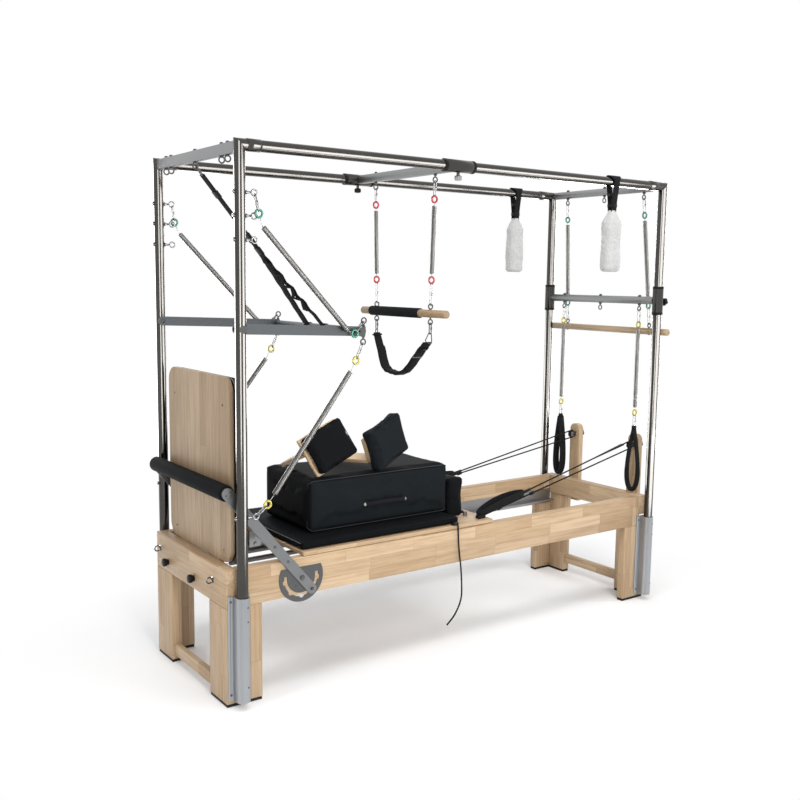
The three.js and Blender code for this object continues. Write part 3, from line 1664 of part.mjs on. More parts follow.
// Bed
piece('foot_end_frame', footEndFrame(), wood);
piece('head_end_frame', headEndFrame(), wood);
piece('side_rail_near', sideRail(-1), wood);
piece('side_rail_far', sideRail(1), wood);
piece('track_frame', trackFrame(), aluminium);
piece('plunger_near', plunger(plungerNearY), plastic);
piece('plunger_far', plunger(plungerFarY), plastic);

// Canopy
const footEyes = Object.values(postEyeHeights);
piece('bracket_foot_near', postBracket(footPostX, -1), aluminium);
piece('bracket_foot_far', postBracket(footPostX, 1), aluminium);
piece('bracket_head_near', postBracket(headPostAxisX, -1), aluminium);
piece('bracket_head_far', postBracket(headPostAxisX, 1), aluminium);
piece('post_foot_near', post(footPostX, -1, -1, footEyes), chrome);
piece('post_foot_far', post(footPostX, 1, -1, footEyes), chrome);
piece('post_head_near', post(headPostAxisX, -1, 1, []), chrome);
piece('post_head_far', post(headPostAxisX, 1, 1, []), chrome);
piece('top_rail_near', topRail(-1), chrome);
piece('top_rail_far', topRail(1), chrome);
piece('foot_crossbar', footCrossbar(), satin);
const headCrossReach = postY - tubeRadius - seatGap;
piece('head_crossbar', fuse(roundCrossbar(headPostAxisX, canopyHeight, headCrossReach)), chrome);

// Push-through bar
piece('push_bar', pushBar(), satin);
piece('upper_spring_near', upperSpring(-1), steel);
piece('upper_spring_far', upperSpring(1), steel);
piece('lower_spring_near', lowerSpring(-1), steel);
piece('lower_spring_far', lowerSpring(1), steel);
piece('safety_strap', safetyStrap(), webbing);

// Trapeze
piece('trapeze_carrier', trapezeCarrier(), satin);
const carrierKnobSeat = (side) => at(carrierX, side * postY, canopyHeight - collarRadius - seatGap);
piece('carrier_knob_near', knob(carrierKnobSeat(-1), at(0, 0, -1)), plastic);
piece('carrier_knob_far', knob(carrierKnobSeat(1), at(0, 0, -1)), plastic);
piece('trapeze_spring_near', trapezeSpring(-1), steel);
piece('trapeze_spring_far', trapezeSpring(1), steel);
piece('trapeze_bar', trapezeBar(), wood);
piece('trapeze_sling', trapezeSling(), webbing);
piece('fleece_loop_near', fleeceLoop(fleeceNearX, -1), fleece);
piece('fleece_loop_far', fleeceLoop(fleeceFarX, 1), fleece);

// Head end
piece('mid_crossbar', midCrossbar(), satin);
const midKnobSeat = at(headPostAxisX + collarRadius + seatGap, -postY, midBarHeight - midKnobDrop);
piece('mid_knob', knob(midKnobSeat, along.x), plastic);
piece('roll_down_bar', rollDownBar(), wood);
piece('roll_down_spring_near', rollDownSpring(-1), steel);
piece('roll_down_spring_far', rollDownSpring(1), steel);
piece('hand_loop_near', handLoop(-1), webbing);
piece('hand_loop_far', handLoop(1), webbing);
piece('riser_near', riser(-1), wood);
piece('riser_far', riser(1), wood);
piece('pulley_near', pulley(-1), plastic);
piece('pulley_far', pulley(1), plastic);

// Carriage and what it carries
piece('carriage_platform', carriagePlatform(), wood);
piece('carriage_mat', carriageMat(), vinyl);
piece('headrest', headrest(), vinyl);
piece('carriage_springs', carriageSprings(), steel);
const boxMesh = piece('sitting_box', sittingBox(), vinyl);
piece('shoulder_rest_a', shoulderRest(restPlaceA, boxMesh.geometry), vinyl);
piece('shoulder_rest_b', shoulderRest(restPlaceB, boxMesh.geometry), vinyl);
piece('rope_near', rope(-1), webbing);
piece('rope_far', rope(1), webbing);
piece('rope_tail', ropeTail(), webbing);

// Foot end
piece('jump_board', jumpBoard(), wood);
piece('foot_bar', footBar(), satin);
piece('foot_roll', footRoll(), vinyl);
piece('bar_plate_near', barPlate(-1), steel);
piece('bar_plate_far', barPlate(1), steel);

// The finished table stands centred on the origin
const bounds = new THREE.Box3().setFromObject(group);
const centre = bounds.getCenter(at(0, 0, 0));
group.children.forEach((mesh) => mesh.geometry.translate(-centre.x, -centre.y, -bounds.min.z));

export default group;
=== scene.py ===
"""A trapeze table with a sliding carriage under a four-post canopy.

Sizes in the pieces are millimetres about the bed's centre, with the floor at zero.
"""

import bmesh
import bpy
import json
import math
import numpy as np
from mathutils import Matrix, Vector, noise
from mathutils.bvhtree import BVHTree

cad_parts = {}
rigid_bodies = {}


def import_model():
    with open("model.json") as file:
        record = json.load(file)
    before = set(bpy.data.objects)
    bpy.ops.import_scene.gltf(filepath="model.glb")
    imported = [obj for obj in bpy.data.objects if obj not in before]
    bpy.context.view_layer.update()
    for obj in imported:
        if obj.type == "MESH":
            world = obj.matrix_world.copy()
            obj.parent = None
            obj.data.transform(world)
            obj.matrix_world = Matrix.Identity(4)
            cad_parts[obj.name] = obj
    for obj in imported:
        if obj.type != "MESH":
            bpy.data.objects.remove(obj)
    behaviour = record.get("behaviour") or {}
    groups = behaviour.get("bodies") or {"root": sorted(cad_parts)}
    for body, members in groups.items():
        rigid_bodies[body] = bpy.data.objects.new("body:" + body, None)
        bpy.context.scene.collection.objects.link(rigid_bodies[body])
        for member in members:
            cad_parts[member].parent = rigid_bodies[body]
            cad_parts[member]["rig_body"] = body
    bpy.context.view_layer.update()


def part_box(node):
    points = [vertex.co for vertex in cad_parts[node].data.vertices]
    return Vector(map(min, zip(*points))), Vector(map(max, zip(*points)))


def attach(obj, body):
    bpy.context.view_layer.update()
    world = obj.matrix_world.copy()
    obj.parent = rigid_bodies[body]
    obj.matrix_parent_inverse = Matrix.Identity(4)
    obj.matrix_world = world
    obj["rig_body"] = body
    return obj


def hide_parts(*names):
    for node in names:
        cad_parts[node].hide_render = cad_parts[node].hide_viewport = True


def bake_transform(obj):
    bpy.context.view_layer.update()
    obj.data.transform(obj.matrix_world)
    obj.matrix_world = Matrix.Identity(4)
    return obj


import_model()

X, Y, Z = np.eye(3)
SIDES = ((-1, "near"), (1, "far"))
SIDE_RAIL_START = -1127.7
BED_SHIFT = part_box("side_rail_near")[0][0] * 1000 - SIDE_RAIL_START


def at(x, y, z):
    return np.array([float(x), float(y), float(z)])


def metres(points):
    return (np.asarray(points, float) + at(BED_SHIFT, 0, 0)) / 1000


def unit(vector):
    return vector / np.linalg.norm(vector)


def stand(name, data):
    """An object in the scene for a mesh, a curve, a lamp or a camera."""
    thing = bpy.data.objects.new(name, data)
    bpy.context.collection.objects.link(thing)
    return thing


# Camera at the photograph's angle, its turns in radians
CAMERA_PLACE = at(-2660.1, -3503.1, 1614.4)
CAMERA_YAW, CAMERA_PITCH, CAMERA_ROLL = 0.6228, 0.1251, 0.0127
CAMERA_LENS, CAMERA_SENSOR = 43.05, 36


def photo_camera():
    data = bpy.data.cameras.new("photo_camera")
    data.sensor_width = CAMERA_SENSOR
    data.lens = CAMERA_LENS
    data.clip_start, data.clip_end = 0.1, 60
    camera = stand("photo_camera", data)
    flat = math.cos(CAMERA_PITCH)
    look = Vector((math.sin(CAMERA_YAW) * flat, math.cos(CAMERA_YAW) * flat, -math.sin(CAMERA_PITCH)))
    level = look.cross(Vector((0, 0, 1))).normalized()
    over = level.cross(look)
    right = math.cos(CAMERA_ROLL) * level + math.sin(CAMERA_ROLL) * over
    up = -math.sin(CAMERA_ROLL) * level + math.cos(CAMERA_ROLL) * over
    turned = Matrix((right, up, -look)).transposed().to_4x4()
    camera.matrix_world = Matrix.Translation(metres(CAMERA_PLACE)) @ turned
    bpy.context.scene.camera = camera


photo_camera()


# Sockets that take sums, and finishes made of nodes
class Wire:
    def __init__(self, finish, socket):
        self.finish = finish
        self.socket = socket

    def sum(self, operation, *terms):
        return self.finish.node("ShaderNodeMath", {"operation": operation}, dict(enumerate(terms)))

    def __add__(self, other):
        return self.sum("ADD", self, other)

    def __radd__(self, other):
        return self.sum("ADD", other, self)

    def __sub__(self, other):
        return self.sum("SUBTRACT", self, other)

    def __rsub__(self, other):
        return self.sum("SUBTRACT", other, self)

    def __mul__(self, other):
        return self.sum("MULTIPLY", self, other)

    def __rmul__(self, other):
        return self.sum("MULTIPLY", other, self)

    def __truediv__(self, other):
        return self.sum("DIVIDE", self, other)

    def __rtruediv__(self, other):
        return self.sum("DIVIDE", other, self)

    def __gt__(self, other):
        return self.sum("GREATER_THAN", self, other)

    def __lt__(self, other):
        return self.sum("LESS_THAN", self, other)

    def floor(self):
        return self.sum("FLOOR", self)

    def fraction(self):
        return self.sum("FRACT", self)

    def largest(self, *others):
        most = self
        for other in others:
            most = self.sum("MAXIMUM", most, other)
        return most

    def size(self):
        return self.sum("ABSOLUTE", self)

    def wave(self):
        return self.sum("SINE", self)

    def out(self, name):
        return Wire(self.finish, self.socket.node.outputs[name])


class Finish:
    def __init__(self, name, **constants):
        self.material = bpy.data.materials.new(name)
        self.material.use_nodes = True
        self.tree = self.material.node_tree
        self.shader = self.tree.nodes["Principled BSDF"]
        self.feed(**constants)

    def node(self, kind, settings=None, sockets=None):
        made = self.tree.nodes.new(kind)
        for name, value in (settings or {}).items():
            if name == "stops":
                ramp = made.color_ramp.elements
                while len(ramp) < len(value):
                    ramp.new(1)
                for element, (position, colour) in zip(ramp, value):
                    element.position = position
                    element.color = (*colour, 1)
            else:
                setattr(made, name, value)
        for name, value in (sockets or {}).items():
            self.join(made.inputs[name], value)
        if made.outputs:
            return Wire(self, next(output for output in made.outputs if output.enabled))
        return made

    def join(self, socket, value):
        if isinstance(value, Wire):
            self.tree.links.new(value.socket, socket)
        elif isinstance(value, tuple) and socket.type == "RGBA":
            socket.default_value = (*value, 1)
        else:
            socket.default_value = value

    def feed(self, **sockets):
        for name, value in sockets.items():
            label = name.replace("_", " ").title().replace("Ior", "IOR")
            self.join(self.shader.inputs[label], value)
        return self

    def spot(self):
        return self.node("ShaderNodeTexCoord").out("Object")

    def split(self, vector):
        parts = self.node("ShaderNodeSeparateXYZ", None, {"Vector": vector})
        return [parts.out(letter) for letter in "XYZ"]

    def pack(self, x, y, z):
        return self.node("ShaderNodeCombineXYZ", None, {"X": x, "Y": y, "Z": z})

    def stretched(self, vector, scale):
        return self.node("ShaderNodeVectorMath", {"operation": "MULTIPLY"}, {0: vector, 1: scale})

    def noise(self, vector, scale, detail=2.0, roughness=0.5):
        return self.node(
            "ShaderNodeTexNoise",
            None,
            {"Vector": vector, "Scale": scale, "Detail": detail, "Roughness": roughness},
        )

    def chance(self, a, b=0.0, c=0.0):
        spot = self.pack(a, b, c)
        return self.node("ShaderNodeTexWhiteNoise", {"noise_dimensions": "3D"}, {"Vector": spot})

    def blend(self, low, high, share):
        mixed = self.node("ShaderNodeMix", {"data_type": "RGBA"}, {0: share, 6: low, 7: high})
        return Wire(self, mixed.socket.node.outputs[2])

    def ramp(self, value, *stops):
        """A grey ramp; each stop is its place and how light it is."""
        greys = [(place, (grey, grey, grey)) for place, grey in stops]
        return self.node("ShaderNodeValToRGB", {"stops": greys}, {0: value})

    def bump(self, height, strength, distance):
        sockets = {"Height": height, "Strength": strength, "Distance": distance}
        self.join(self.shader.inputs["Normal"], self.node("ShaderNodeBump", None, sockets))
        return self


def toned(colour, share, lift=0):
    return tuple(value * share + lift for value in colour)


# Finishes
PALE_WOOD, HONEY_WOOD, BROWN_WOOD = (0.63, 0.465, 0.295), (0.43, 0.285, 0.158), (0.26, 0.15, 0.075)
GLUE_LINE = 0.0007
FIRST_STAVE = 0.37


def board_wood(name, along, across, stave, length, light=1.0):
    """Board glued up from staves; every length of a stave has its own tone and figure."""
    finish = Finish(name, coat_roughness=0.3)
    x, y, z = finish.split(finish.spot())
    axes = {"x": x, "y": y, "z": z}
    run = axes[along]
    width = axes[across[0]] if len(across) == 1 else axes[across[0]] + axes[across[1]]
    others = [axes[letter] for letter in "yzx" if letter not in along + across]
    depth = others[0] if others else x - y
    rows = width / stave + FIRST_STAVE
    row = rows.floor()
    spans = run / length + finish.chance(row, 3.0) * 5.0
    span = spans.floor()
    tone = finish.chance(row, span, 1.0)
    second = finish.chance(row, span, 7.0)
    grain_spot = finish.pack(run * 5.0 + tone * 31.0, width * 70.0 + second * 17.0, depth * 70.0)
    grain = finish.noise(grain_spot, 1.0, 4.0, 0.62)
    figure_spot = finish.pack(run * 2.2 + second * 13.0, width * 16.0, depth * 16.0 + tone * 9.0)
    figure = finish.noise(figure_spot, 1.0, 2.0)
    pores = finish.noise(finish.pack(run * 45.0, width * 900.0, depth * 900.0), 1.0, 1.0)
    pale, honey, brown = (toned(wood, light) for wood in (PALE_WOOD, HONEY_WOOD, BROWN_WOOD))
    colour = finish.blend(pale, honey, tone * 0.9 + figure * 0.35 - 0.12)
    colour = finish.blend(colour, brown, finish.ramp(grain, (0.42, 0), (0.78, 0.6)))
    colour = finish.blend(colour, brown, (pores > 0.7) * 0.28)
    edge = (rows.fraction() - 0.5).size() > 0.5 - GLUE_LINE / stave
    butt = (spans.fraction() - 0.5).size() > 0.5 - GLUE_LINE / length
    colour = finish.blend(colour, brown, edge * 0.6)
    colour = finish.blend(colour, brown, butt * 0.6)
    finish.feed(base_color=colour, roughness=grain * 0.16 + 0.36, coat_weight=0.12)
    return finish.bump(grain - edge * 0.6 - pores * 0.2, 0.25, 0.0006)


def plain_metal(name, colour, roughness, streak=(8.0, 8.0, 8.0), depth=0.0):
    finish = Finish(name, metallic=1.0)
    spot = finish.spot()
    brushed = finish.noise(finish.stretched(spot, streak), 60.0, 3.0, 0.6)
    smudges = finish.noise(spot, 14.0, 2.0)
    finish.feed(
        base_color=finish.blend(toned(colour, 0.86), colour, brushed * 0.7 + smudges * 0.3),
        roughness=brushed * 0.12 + smudges * 0.08 + (roughness - 0.1),
    )
    return finish.bump(brushed, 0.2, depth) if depth else finish


def polished_metal(name, colour, roughness):
    finish = Finish(name, metallic=1.0)
    spot = finish.spot()
    smudges = finish.noise(spot, 9.0, 2.0)
    fine = finish.noise(spot, 60.0, 2.0)
    return finish.feed(
        base_color=finish.blend(colour, toned(colour, 1.5), smudges * 0.6 + fine * 0.2),
        roughness=smudges * 0.07 + (roughness - 0.03),
    )


def coloured_metal(name, colour):
    finish = Finish(name, metallic=0.25)
    wear = finish.noise(finish.spot(), 180.0, 3.0)
    base = finish.blend(toned(colour, 0.6), colour, wear)
    return finish.feed(base_color=base, roughness=wear * 0.2 + 0.28)


def black_hide(name, colour=(0.0044, 0.0048, 0.0056), gloss=0.06):
    finish = Finish(name, specular_ior_level=gloss)
    spot = finish.spot()
    sockets = {"Vector": spot, "Scale": 520.0}
    cells = finish.node("ShaderNodeTexVoronoi", {"feature": "DISTANCE_TO_EDGE"}, sockets)
    creases = finish.noise(spot, 320.0, 3.0, 0.6)
    patches = finish.noise(spot, 9.0, 2.0)
    finish.feed(
        base_color=finish.blend(colour, toned(colour, 2.0), patches * 0.5 + creases * 0.3),
        roughness=patches * 0.14 + creases * 0.1 + 0.46,
    )
    return finish.bump(cells * 1.4 + creases * 0.5, 0.3, 0.0005)


def black_weave(name, colour=(0.006, 0.0062, 0.007), pitch=0.0019):
    """Woven webbing or braided cord; the pitch is from rib to rib in metres."""
    finish = Finish(name, specular_ior_level=0.25)
    x, y, z = finish.split(finish.spot())
    turns = 2 * math.pi / pitch
    ribs = (x * turns).wave() * (y * turns).wave() + (z * turns).wave() * 0.6
    fuzz = finish.noise(finish.spot(), 900.0, 2.0)
    finish.feed(
        base_color=finish.blend(colour, toned(colour, 2.6), ribs * 0.3 + fuzz * 0.5),
        roughness=fuzz * 0.15 + 0.72,
    )
    return finish.bump(ribs + fuzz * 0.6, 0.6, 0.0004)


def moulded(name, colour, roughness, gloss=0.35):
    finish = Finish(name, specular_ior_level=gloss)
    spot = finish.spot()
    speckle = finish.noise(spot, 1400.0, 2.0)
    cloud = finish.noise(spot, 30.0, 2.0)
    finish.feed(
        base_color=finish.blend(colour, toned(colour, 1.6, 0.002), cloud * 0.6),
        roughness=speckle * 0.12 + cloud * 0.08 + (roughness - 0.1),
    )
    return finish.bump(speckle, 0.2, 0.0002)


def fleece_pile():
    finish = Finish("white_fleece", sheen_weight=0.5, sheen_roughness=0.6)
    spot = finish.spot()
    curls = finish.noise(spot, 170.0, 4.0, 0.7)
    tufts = finish.noise(spot, 55.0, 2.0)
    shaded, lit = (0.32, 0.316, 0.31), (0.6, 0.596, 0.588)
    finish.feed(
        base_color=finish.blend(shaded, lit, curls * 0.7 + tufts * 0.5),
        roughness=curls * 0.1 + 0.86,
    )
    return finish.bump(curls + tufts, 0.9, 0.003)


def layered_ply():
    finish = Finish("ply_edges", coat_roughness=0.35)
    x, y, z = finish.split(finish.spot())
    veins = finish.noise(finish.pack(x * 90.0, y * 90.0, z * 6.0), 1.0, 4.0, 0.6)
    broad = finish.noise(finish.pack(x * 22.0, y * 22.0, z * 1.6), 1.0, 2.0)
    finish.feed(
        base_color=finish.blend((0.83, 0.63, 0.41), (0.62, 0.42, 0.235), veins * 0.6 + broad * 0.4),
        roughness=veins * 0.15 + 0.38,
        coat_weight=0.15,
    )
    return finish.bump(veins, 0.15, 0.0004)


# The last number darkens a copy of the wood. For the legs, the end rails and the jump board it is
# partly the boards' own tone and partly painted shade for the end faces that the light misses.
RAIL_WOOD = board_wood("rail_wood", "x", "z", 0.05, 0.34)
END_WOOD = board_wood("end_rail_wood", "y", "z", 0.05, 0.31, 0.9)
LEG_WOOD = board_wood("leg_wood", "z", "xy", 0.051, 0.42, 0.9)
PANEL_WOOD = board_wood("panel_wood", "z", "y", 0.058, 2.6, 0.74)
PLAIN_WOOD = board_wood("riser_wood", "z", "y", 0.09, 2.0, 0.95)
DECK_WOOD = board_wood("deck_wood", "x", "y", 0.09, 0.8)
DOWEL_WOOD = board_wood("dowel_wood", "y", "z", 0.3, 3.0, 0.72)
PLY = layered_ply()
CHROME = polished_metal("polished_tube", (0.066, 0.063, 0.059), 0.12)
BRIGHT = polished_metal("bright_steel", (0.13, 0.13, 0.13), 0.17)
STUD = polished_metal("stud_steel", (0.4, 0.4, 0.39), 0.3)
SATIN = plain_metal("satin_steel", (0.36, 0.365, 0.37), 0.42, (1.0, 30.0, 30.0), 0.0002)
ARM_STEEL = plain_metal("push_arm_steel", (0.21, 0.225, 0.235), 0.45, (1.0, 30.0, 30.0), 0.0002)
BRUSHED = plain_metal("brushed_arm", (0.3, 0.305, 0.31), 0.45, (6.0, 30.0, 6.0), 0.0002)
ALUMINIUM = plain_metal("drawn_aluminium", (0.47, 0.485, 0.505), 0.44, (60.0, 60.0, 1.0), 0.0002)
PLATE_STEEL = plain_metal("plate_steel", (0.17, 0.172, 0.175), 0.5)
SPRING_STEEL = polished_metal("spring_steel", (0.17, 0.166, 0.16), 0.34)
GREEN = coloured_metal("green_ring", (0.02, 0.18, 0.12))
YELLOW = coloured_metal("yellow_ring", (0.4, 0.34, 0.03))
RED = coloured_metal("red_ring", (0.34, 0.015, 0.025))
HIDE = black_hide("black_upholstery")
# A lighter, bluer copy of the black vinyl: painted light for the faces the light falls on, the box's
# long sides and the upright shoulder rest.
HIDE_PAINTED_LIT = black_hide("black_upholstery_painted_lit", (0.0070, 0.0086, 0.0100), 0.07)
SEAM = moulded("seam_piping", (0.017, 0.019, 0.021), 0.5)
PIPING = moulded("grey_piping", (0.11, 0.112, 0.118), 0.42)
WEBBING = black_weave("black_webbing")
CORD = black_weave("black_cord", (0.005, 0.005, 0.0055), 0.0026)
PLASTIC = moulded("black_plastic", (0.004, 0.004, 0.004), 0.45, 0.25)
RUBBER = moulded("black_rubber", (0.008, 0.008, 0.008), 0.72)
FOAM = moulded("black_foam", (0.009, 0.0095, 0.0102), 0.86, 0.12)
FLEECE = fleece_pile()


# The free end of the near rope, on the route of its solid
TAIL_START = at(-78, -339.8, 559.5)
TAIL_RADIUS = 3.5
TAIL_POINTS = [
    *((0, 0, 0), (0, 6, 0), (1, 11.5, -7), (2, 12, -20), (8, 11.5, -99), (22, 11.5, -198)),
    *((29, 11.5, -286), (27, 12, -333), (13, 12, -372), (-16, 12.5, -413), (-52, 13, -443)),
]


def smooth_route(points, steps):
    """A curve through the points that keeps its bends even where they lie close together."""
    route = [points[0] * 2 - points[1], *points, points[-1] * 2 - points[-2]]
    line = []
    for a, b, c, d in zip(route, route[1:], route[2:], route[3:]):
        pairs = ((a, b), (b, c), (c, d))
        first, middle, last = (max(np.linalg.norm(p - q) ** 0.5, 1e-4) for p, q in pairs)
        start = ((b - a) / first - (c - a) / (first + middle) + (c - b) / middle) * middle
        stop = ((c - b) / middle - (d - b) / (middle + last) + (d - c) / last) * middle
        for step in range(steps):
            t = step / steps
            line.append(
                (2 * t**3 - 3 * t**2 + 1) * b
                + (t**3 - 2 * t**2 + t) * start
                + (3 * t**2 - 2 * t**3) * c
                + (t**3 - t**2) * stop
            )
    return [*line, points[-1]]


def straight_spline(curve, places):
    spline = curve.splines.new("POLY")
    spline.points.add(len(places) - 1)
    for point, place in zip(spline.points, places):
        point.co = (*place, 1)
    return spline


def hanging_cord():
    route = [TAIL_START + at(x, -out, up) for x, out, up in TAIL_POINTS]
    line = smooth_route(route, 6)
    data = bpy.data.curves.new("rope_tail_cord", "CURVE")
    data.dimensions = "3D"
    data.bevel_depth = TAIL_RADIUS / 1000
    data.bevel_resolution = 5
    data.use_fill_caps = True
    straight_spline(data, metres(line))
    data.materials.append(CORD.material)
    cord = stand("rope_tail_cord", data)
    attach(cord, "carriage")
    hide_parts("rope_tail")
    length = sum(np.linalg.norm(b - a) for a, b in zip(line, line[1:])) / 1000


hanging_cord()


# Shapes: points and faces in millimetres, each face marked with its finish
class Shape:
    def __init__(self):
        self.points, self.faces, self.marks = [], [], []

    def add(self, form, mark=0):
        points, faces = form
        start = len(self.points)
        self.points.extend(np.asarray(points, float).tolist())
        self.faces.extend([[start + int(corner) for corner in face] for face in faces])
        self.marks.extend(mark if isinstance(mark, list) else [mark] * len(faces))
        return self

    def shift(self, move):
        self.points = (np.array(self.points) + move).tolist()

    def make(self, name, finishes, body, slot, node="", sharp=50):
        """The piece itself, on its body; it stands for a node if one is named."""
        mesh = bpy.data.meshes.new(name)
        mesh.from_pydata(metres(self.points).tolist(), [], self.faces)
        mesh.polygons.foreach_set("material_index", self.marks)
        mesh.polygons.foreach_set("use_smooth", [True] * len(self.faces))
        mesh.set_sharp_from_angle(angle=math.radians(sharp))
        mesh.validate()
        for finish in finishes:
            mesh.materials.append(finish.material)
        piece = stand(name, mesh)
        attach(piece, body)
        if node:
            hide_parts(node)
        return piece


ON_AXIS = 1e-6
EYE_RADIUS, EYE_WIRE = 11, 3


def turned_from(way):
    """The turn that takes Z to a direction."""
    return np.array(Vector((0, 0, 1)).rotation_difference(Vector(unit(way))).to_matrix())


def lathe(profile, base, way, steps=32):
    """A closed turning: (radius, height) pairs from its base along a direction."""
    count = len(profile)
    points, faces = [], []
    for step in range(steps):
        angle = 2 * math.pi * step / steps
        for radius, height in profile:
            points.append((radius * math.cos(angle), radius * math.sin(angle), height))
        here, there = step * count, (step + 1) % steps * count
        for k in range(count - 1):
            face = [here + k, there + k, there + k + 1, here + k + 1]
            if profile[k][0] < ON_AXIS:
                face.pop(1)
            elif profile[k + 1][0] < ON_AXIS:
                face.pop()
            faces.append(face)
    return np.array(points) @ turned_from(way).T + base, faces


def rod(start, end, radius, steps=24, chamfer=0.6):
    length = np.linalg.norm(end - start)
    chamfer = min(chamfer, radius / 3, length / 3)
    flat = radius - chamfer
    side = [(radius, chamfer), (radius, length - chamfer)]
    return lathe([(0, 0), (flat, 0), *side, (flat, length), (0, length)], start, end - start, steps)


def sleeve(start, end, inside, outside, steps=48, chamfer=1.0):
    length = np.linalg.norm(end - start)
    flat = outside - chamfer
    side = [(flat, 0), (outside, chamfer), (outside, length - chamfer), (flat, length)]
    return lathe([(inside, 0), *side, (inside, length), (inside, 0)], start, end - start, steps)


def skin(rows, sides, closed=False):
    """Faces over rows of points, each row a ring; an open skin has a cap at each end."""
    faces = []
    for row in range(rows if closed else rows - 1):
        here, there = row * sides, (row + 1) % rows * sides
        for k in range(sides):
            after = (k + 1) % sides
            faces.append([here + k, here + after, there + after, there + k])
    if not closed:
        faces.append(list(range(sides))[::-1])
        faces.append([(rows - 1) * sides + k for k in range(sides)])
    return faces


def turned_over(faces):
    return [face[::-1] for face in faces]


def hoop(centre, normal, radius, wire, steps=28, sides=10):
    points = []
    for step in range(steps):
        angle = 2 * math.pi * step / steps
        out = at(math.cos(angle), math.sin(angle), 0)
        points.extend(out * (radius + u) + Z * v for u, v in circle(wire, sides))
    faces = turned_over(skin(steps, sides, True))
    return np.array(points) @ turned_from(normal).T + centre, faces


def eye(centre):
    """The ring of an eye bolt, across the bed."""
    return hoop(centre, Y, EYE_RADIUS, EYE_WIRE)


def snap_ring(centre):
    """One of the coloured rings at the ends of a spring."""
    return hoop(centre, Y, 13.5, 4.4, 36, 12)


def circle(radius, sides=12, flat=1.0):
    angles = [2 * math.pi * side / sides for side in range(sides)]
    return [(radius * math.cos(angle), flat * radius * math.sin(angle)) for angle in angles]


def strip(width, thickness, soft=0.45):
    """A strap's section: flat faces and rounded edges."""
    half, deep = width / 2, thickness / 2
    edge = deep * soft
    return [
        (-half, -deep + edge),
        (-half + edge, -deep),
        (half - edge, -deep),
        (half, -deep + edge),
        (half, deep - edge),
        (half - edge, deep),
        (-half + edge, deep),
        (-half, deep - edge),
    ]


def sweep(line, section, side=None, closed=False, swell=None):
    """A section carried along a line; a side vector keeps a flat section flat."""
    count = len(line)
    points = []
    across = side
    for i, point in enumerate(line):
        ahead = line[(i + 1) % count] if closed else line[min(i + 1, count - 1)]
        behind = line[i - 1] if closed else line[max(i - 1, 0)]
        tangent = unit(ahead - behind)
        if across is None:
            across = X if abs(tangent[2]) > 0.7 else Z
        across = unit(across - tangent * np.dot(across, tangent))
        up = np.cross(tangent, across)
        scale = swell(i / (count - 1)) if swell else 1
        points.extend(point + scale * (across * u + up * v) for u, v in section)
    return points, skin(count, len(section), closed)


def eased_block(middle, size, offset, segments):
    made = bmesh.new()
    bmesh.ops.create_cube(made, size=1)
    for corner in made.verts:
        corner.co = Vector(middle + np.array(corner.co) * size)
    settings = {"offset": offset, "segments": segments, "profile": 0.5, "affect": "EDGES"}
    bmesh.ops.bevel(made, geom=made.edges[:], **settings)
    return made


def block(x0, x1, y0, y1, z0, z1, rounding=2.0, rounds=2):
    low = np.minimum((x0, y0, z0), (x1, y1, z1))
    high = np.maximum((x0, y0, z0), (x1, y1, z1))
    return emptied(eased_block((low + high) / 2, high - low, rounding, rounds))


def emptied(made):
    made.verts.index_update()
    points = [tuple(corner.co) for corner in made.verts]
    faces = [[corner.index for corner in face.verts] for face in made.faces]
    made.free()
    return points, faces


def settled(thing):
    """The mesh that a thing's modifiers or bevel make of it; its modifiers are gone then."""
    shown = thing.evaluated_get(bpy.context.evaluated_depsgraph_get())
    mesh = bpy.data.meshes.new_from_object(shown)
    thing.modifiers.clear()
    return mesh


def plate(rings, thickness, bevel=0.5):
    """A flat sheet from its outline and holes, drawn in X and Y, with eased edges."""
    curve = bpy.data.curves.new("plate", "CURVE")
    curve.dimensions = "2D"
    curve.fill_mode = "BOTH"
    curve.extrude = thickness / 2 - bevel
    curve.bevel_depth = bevel
    curve.bevel_resolution = 1
    curve.offset = -bevel
    for ring in rings:
        straight_spline(curve, [(x, y, 0) for x, y in ring]).use_cyclic_u = True
    flat = stand("plate", curve)
    mesh = settled(flat)
    form = [tuple(v.co) for v in mesh.vertices], [list(face.vertices) for face in mesh.polygons]
    bpy.data.objects.remove(flat)
    bpy.data.curves.remove(curve)
    bpy.data.meshes.remove(mesh)
    return form


def upright(form, y):
    """A plate drawn in X and Z, stood at a depth."""
    points, faces = form
    return [(u, y + w, v) for u, v, w in points], turned_over(faces)


def facing(form, x):
    """A plate drawn in Y and Z, stood at a place along the bed."""
    points, faces = form
    return [(x + w, u, v) for u, v, w in points], faces


def level(form, z):
    points, faces = form
    return [(u, v, z + w) for u, v, w in points], faces


def arc(x, y, radius, start, end, steps=10):
    angles = [math.radians(start + (end - start) * i / steps) for i in range(steps + 1)]
    return [(x + radius * math.cos(angle), y + radius * math.sin(angle)) for angle in angles]


def ring_of(x, y, radius, steps=24):
    return arc(x, y, radius, 0, 360 * (1 - 1 / steps), steps - 1)


def rounded(x0, y0, x1, y1, radius, steps=6):
    return [
        *arc(x0 + radius, y0 + radius, radius, 180, 270, steps),
        *arc(x1 - radius, y0 + radius, radius, 270, 360, steps),
        *arc(x1 - radius, y1 - radius, radius, 0, 90, steps),
        *arc(x0 + radius, y1 - radius, radius, 90, 180, steps),
    ]


def nut(base, way, radius=7.5, height=6.0):
    flat = radius * 0.92
    side = [(radius, 0.8), (radius, height - 0.8)]
    return lathe([(0, 0), (flat, 0), *side, (flat, height), (0, height)], base, way, 6)


def washer(base, way, radius=9.0, thickness=1.4):
    return rod(base, base + unit(way) * thickness, radius, 24, 0.4)


def dome(base, way, radius, height):
    angles = [math.pi / 2 * i / 6 for i in range(6)]
    profile = [(radius * math.cos(angle), height * math.sin(angle)) for angle in angles]
    return lathe([(0, 0), *profile, (0, height)], base, way, 24)


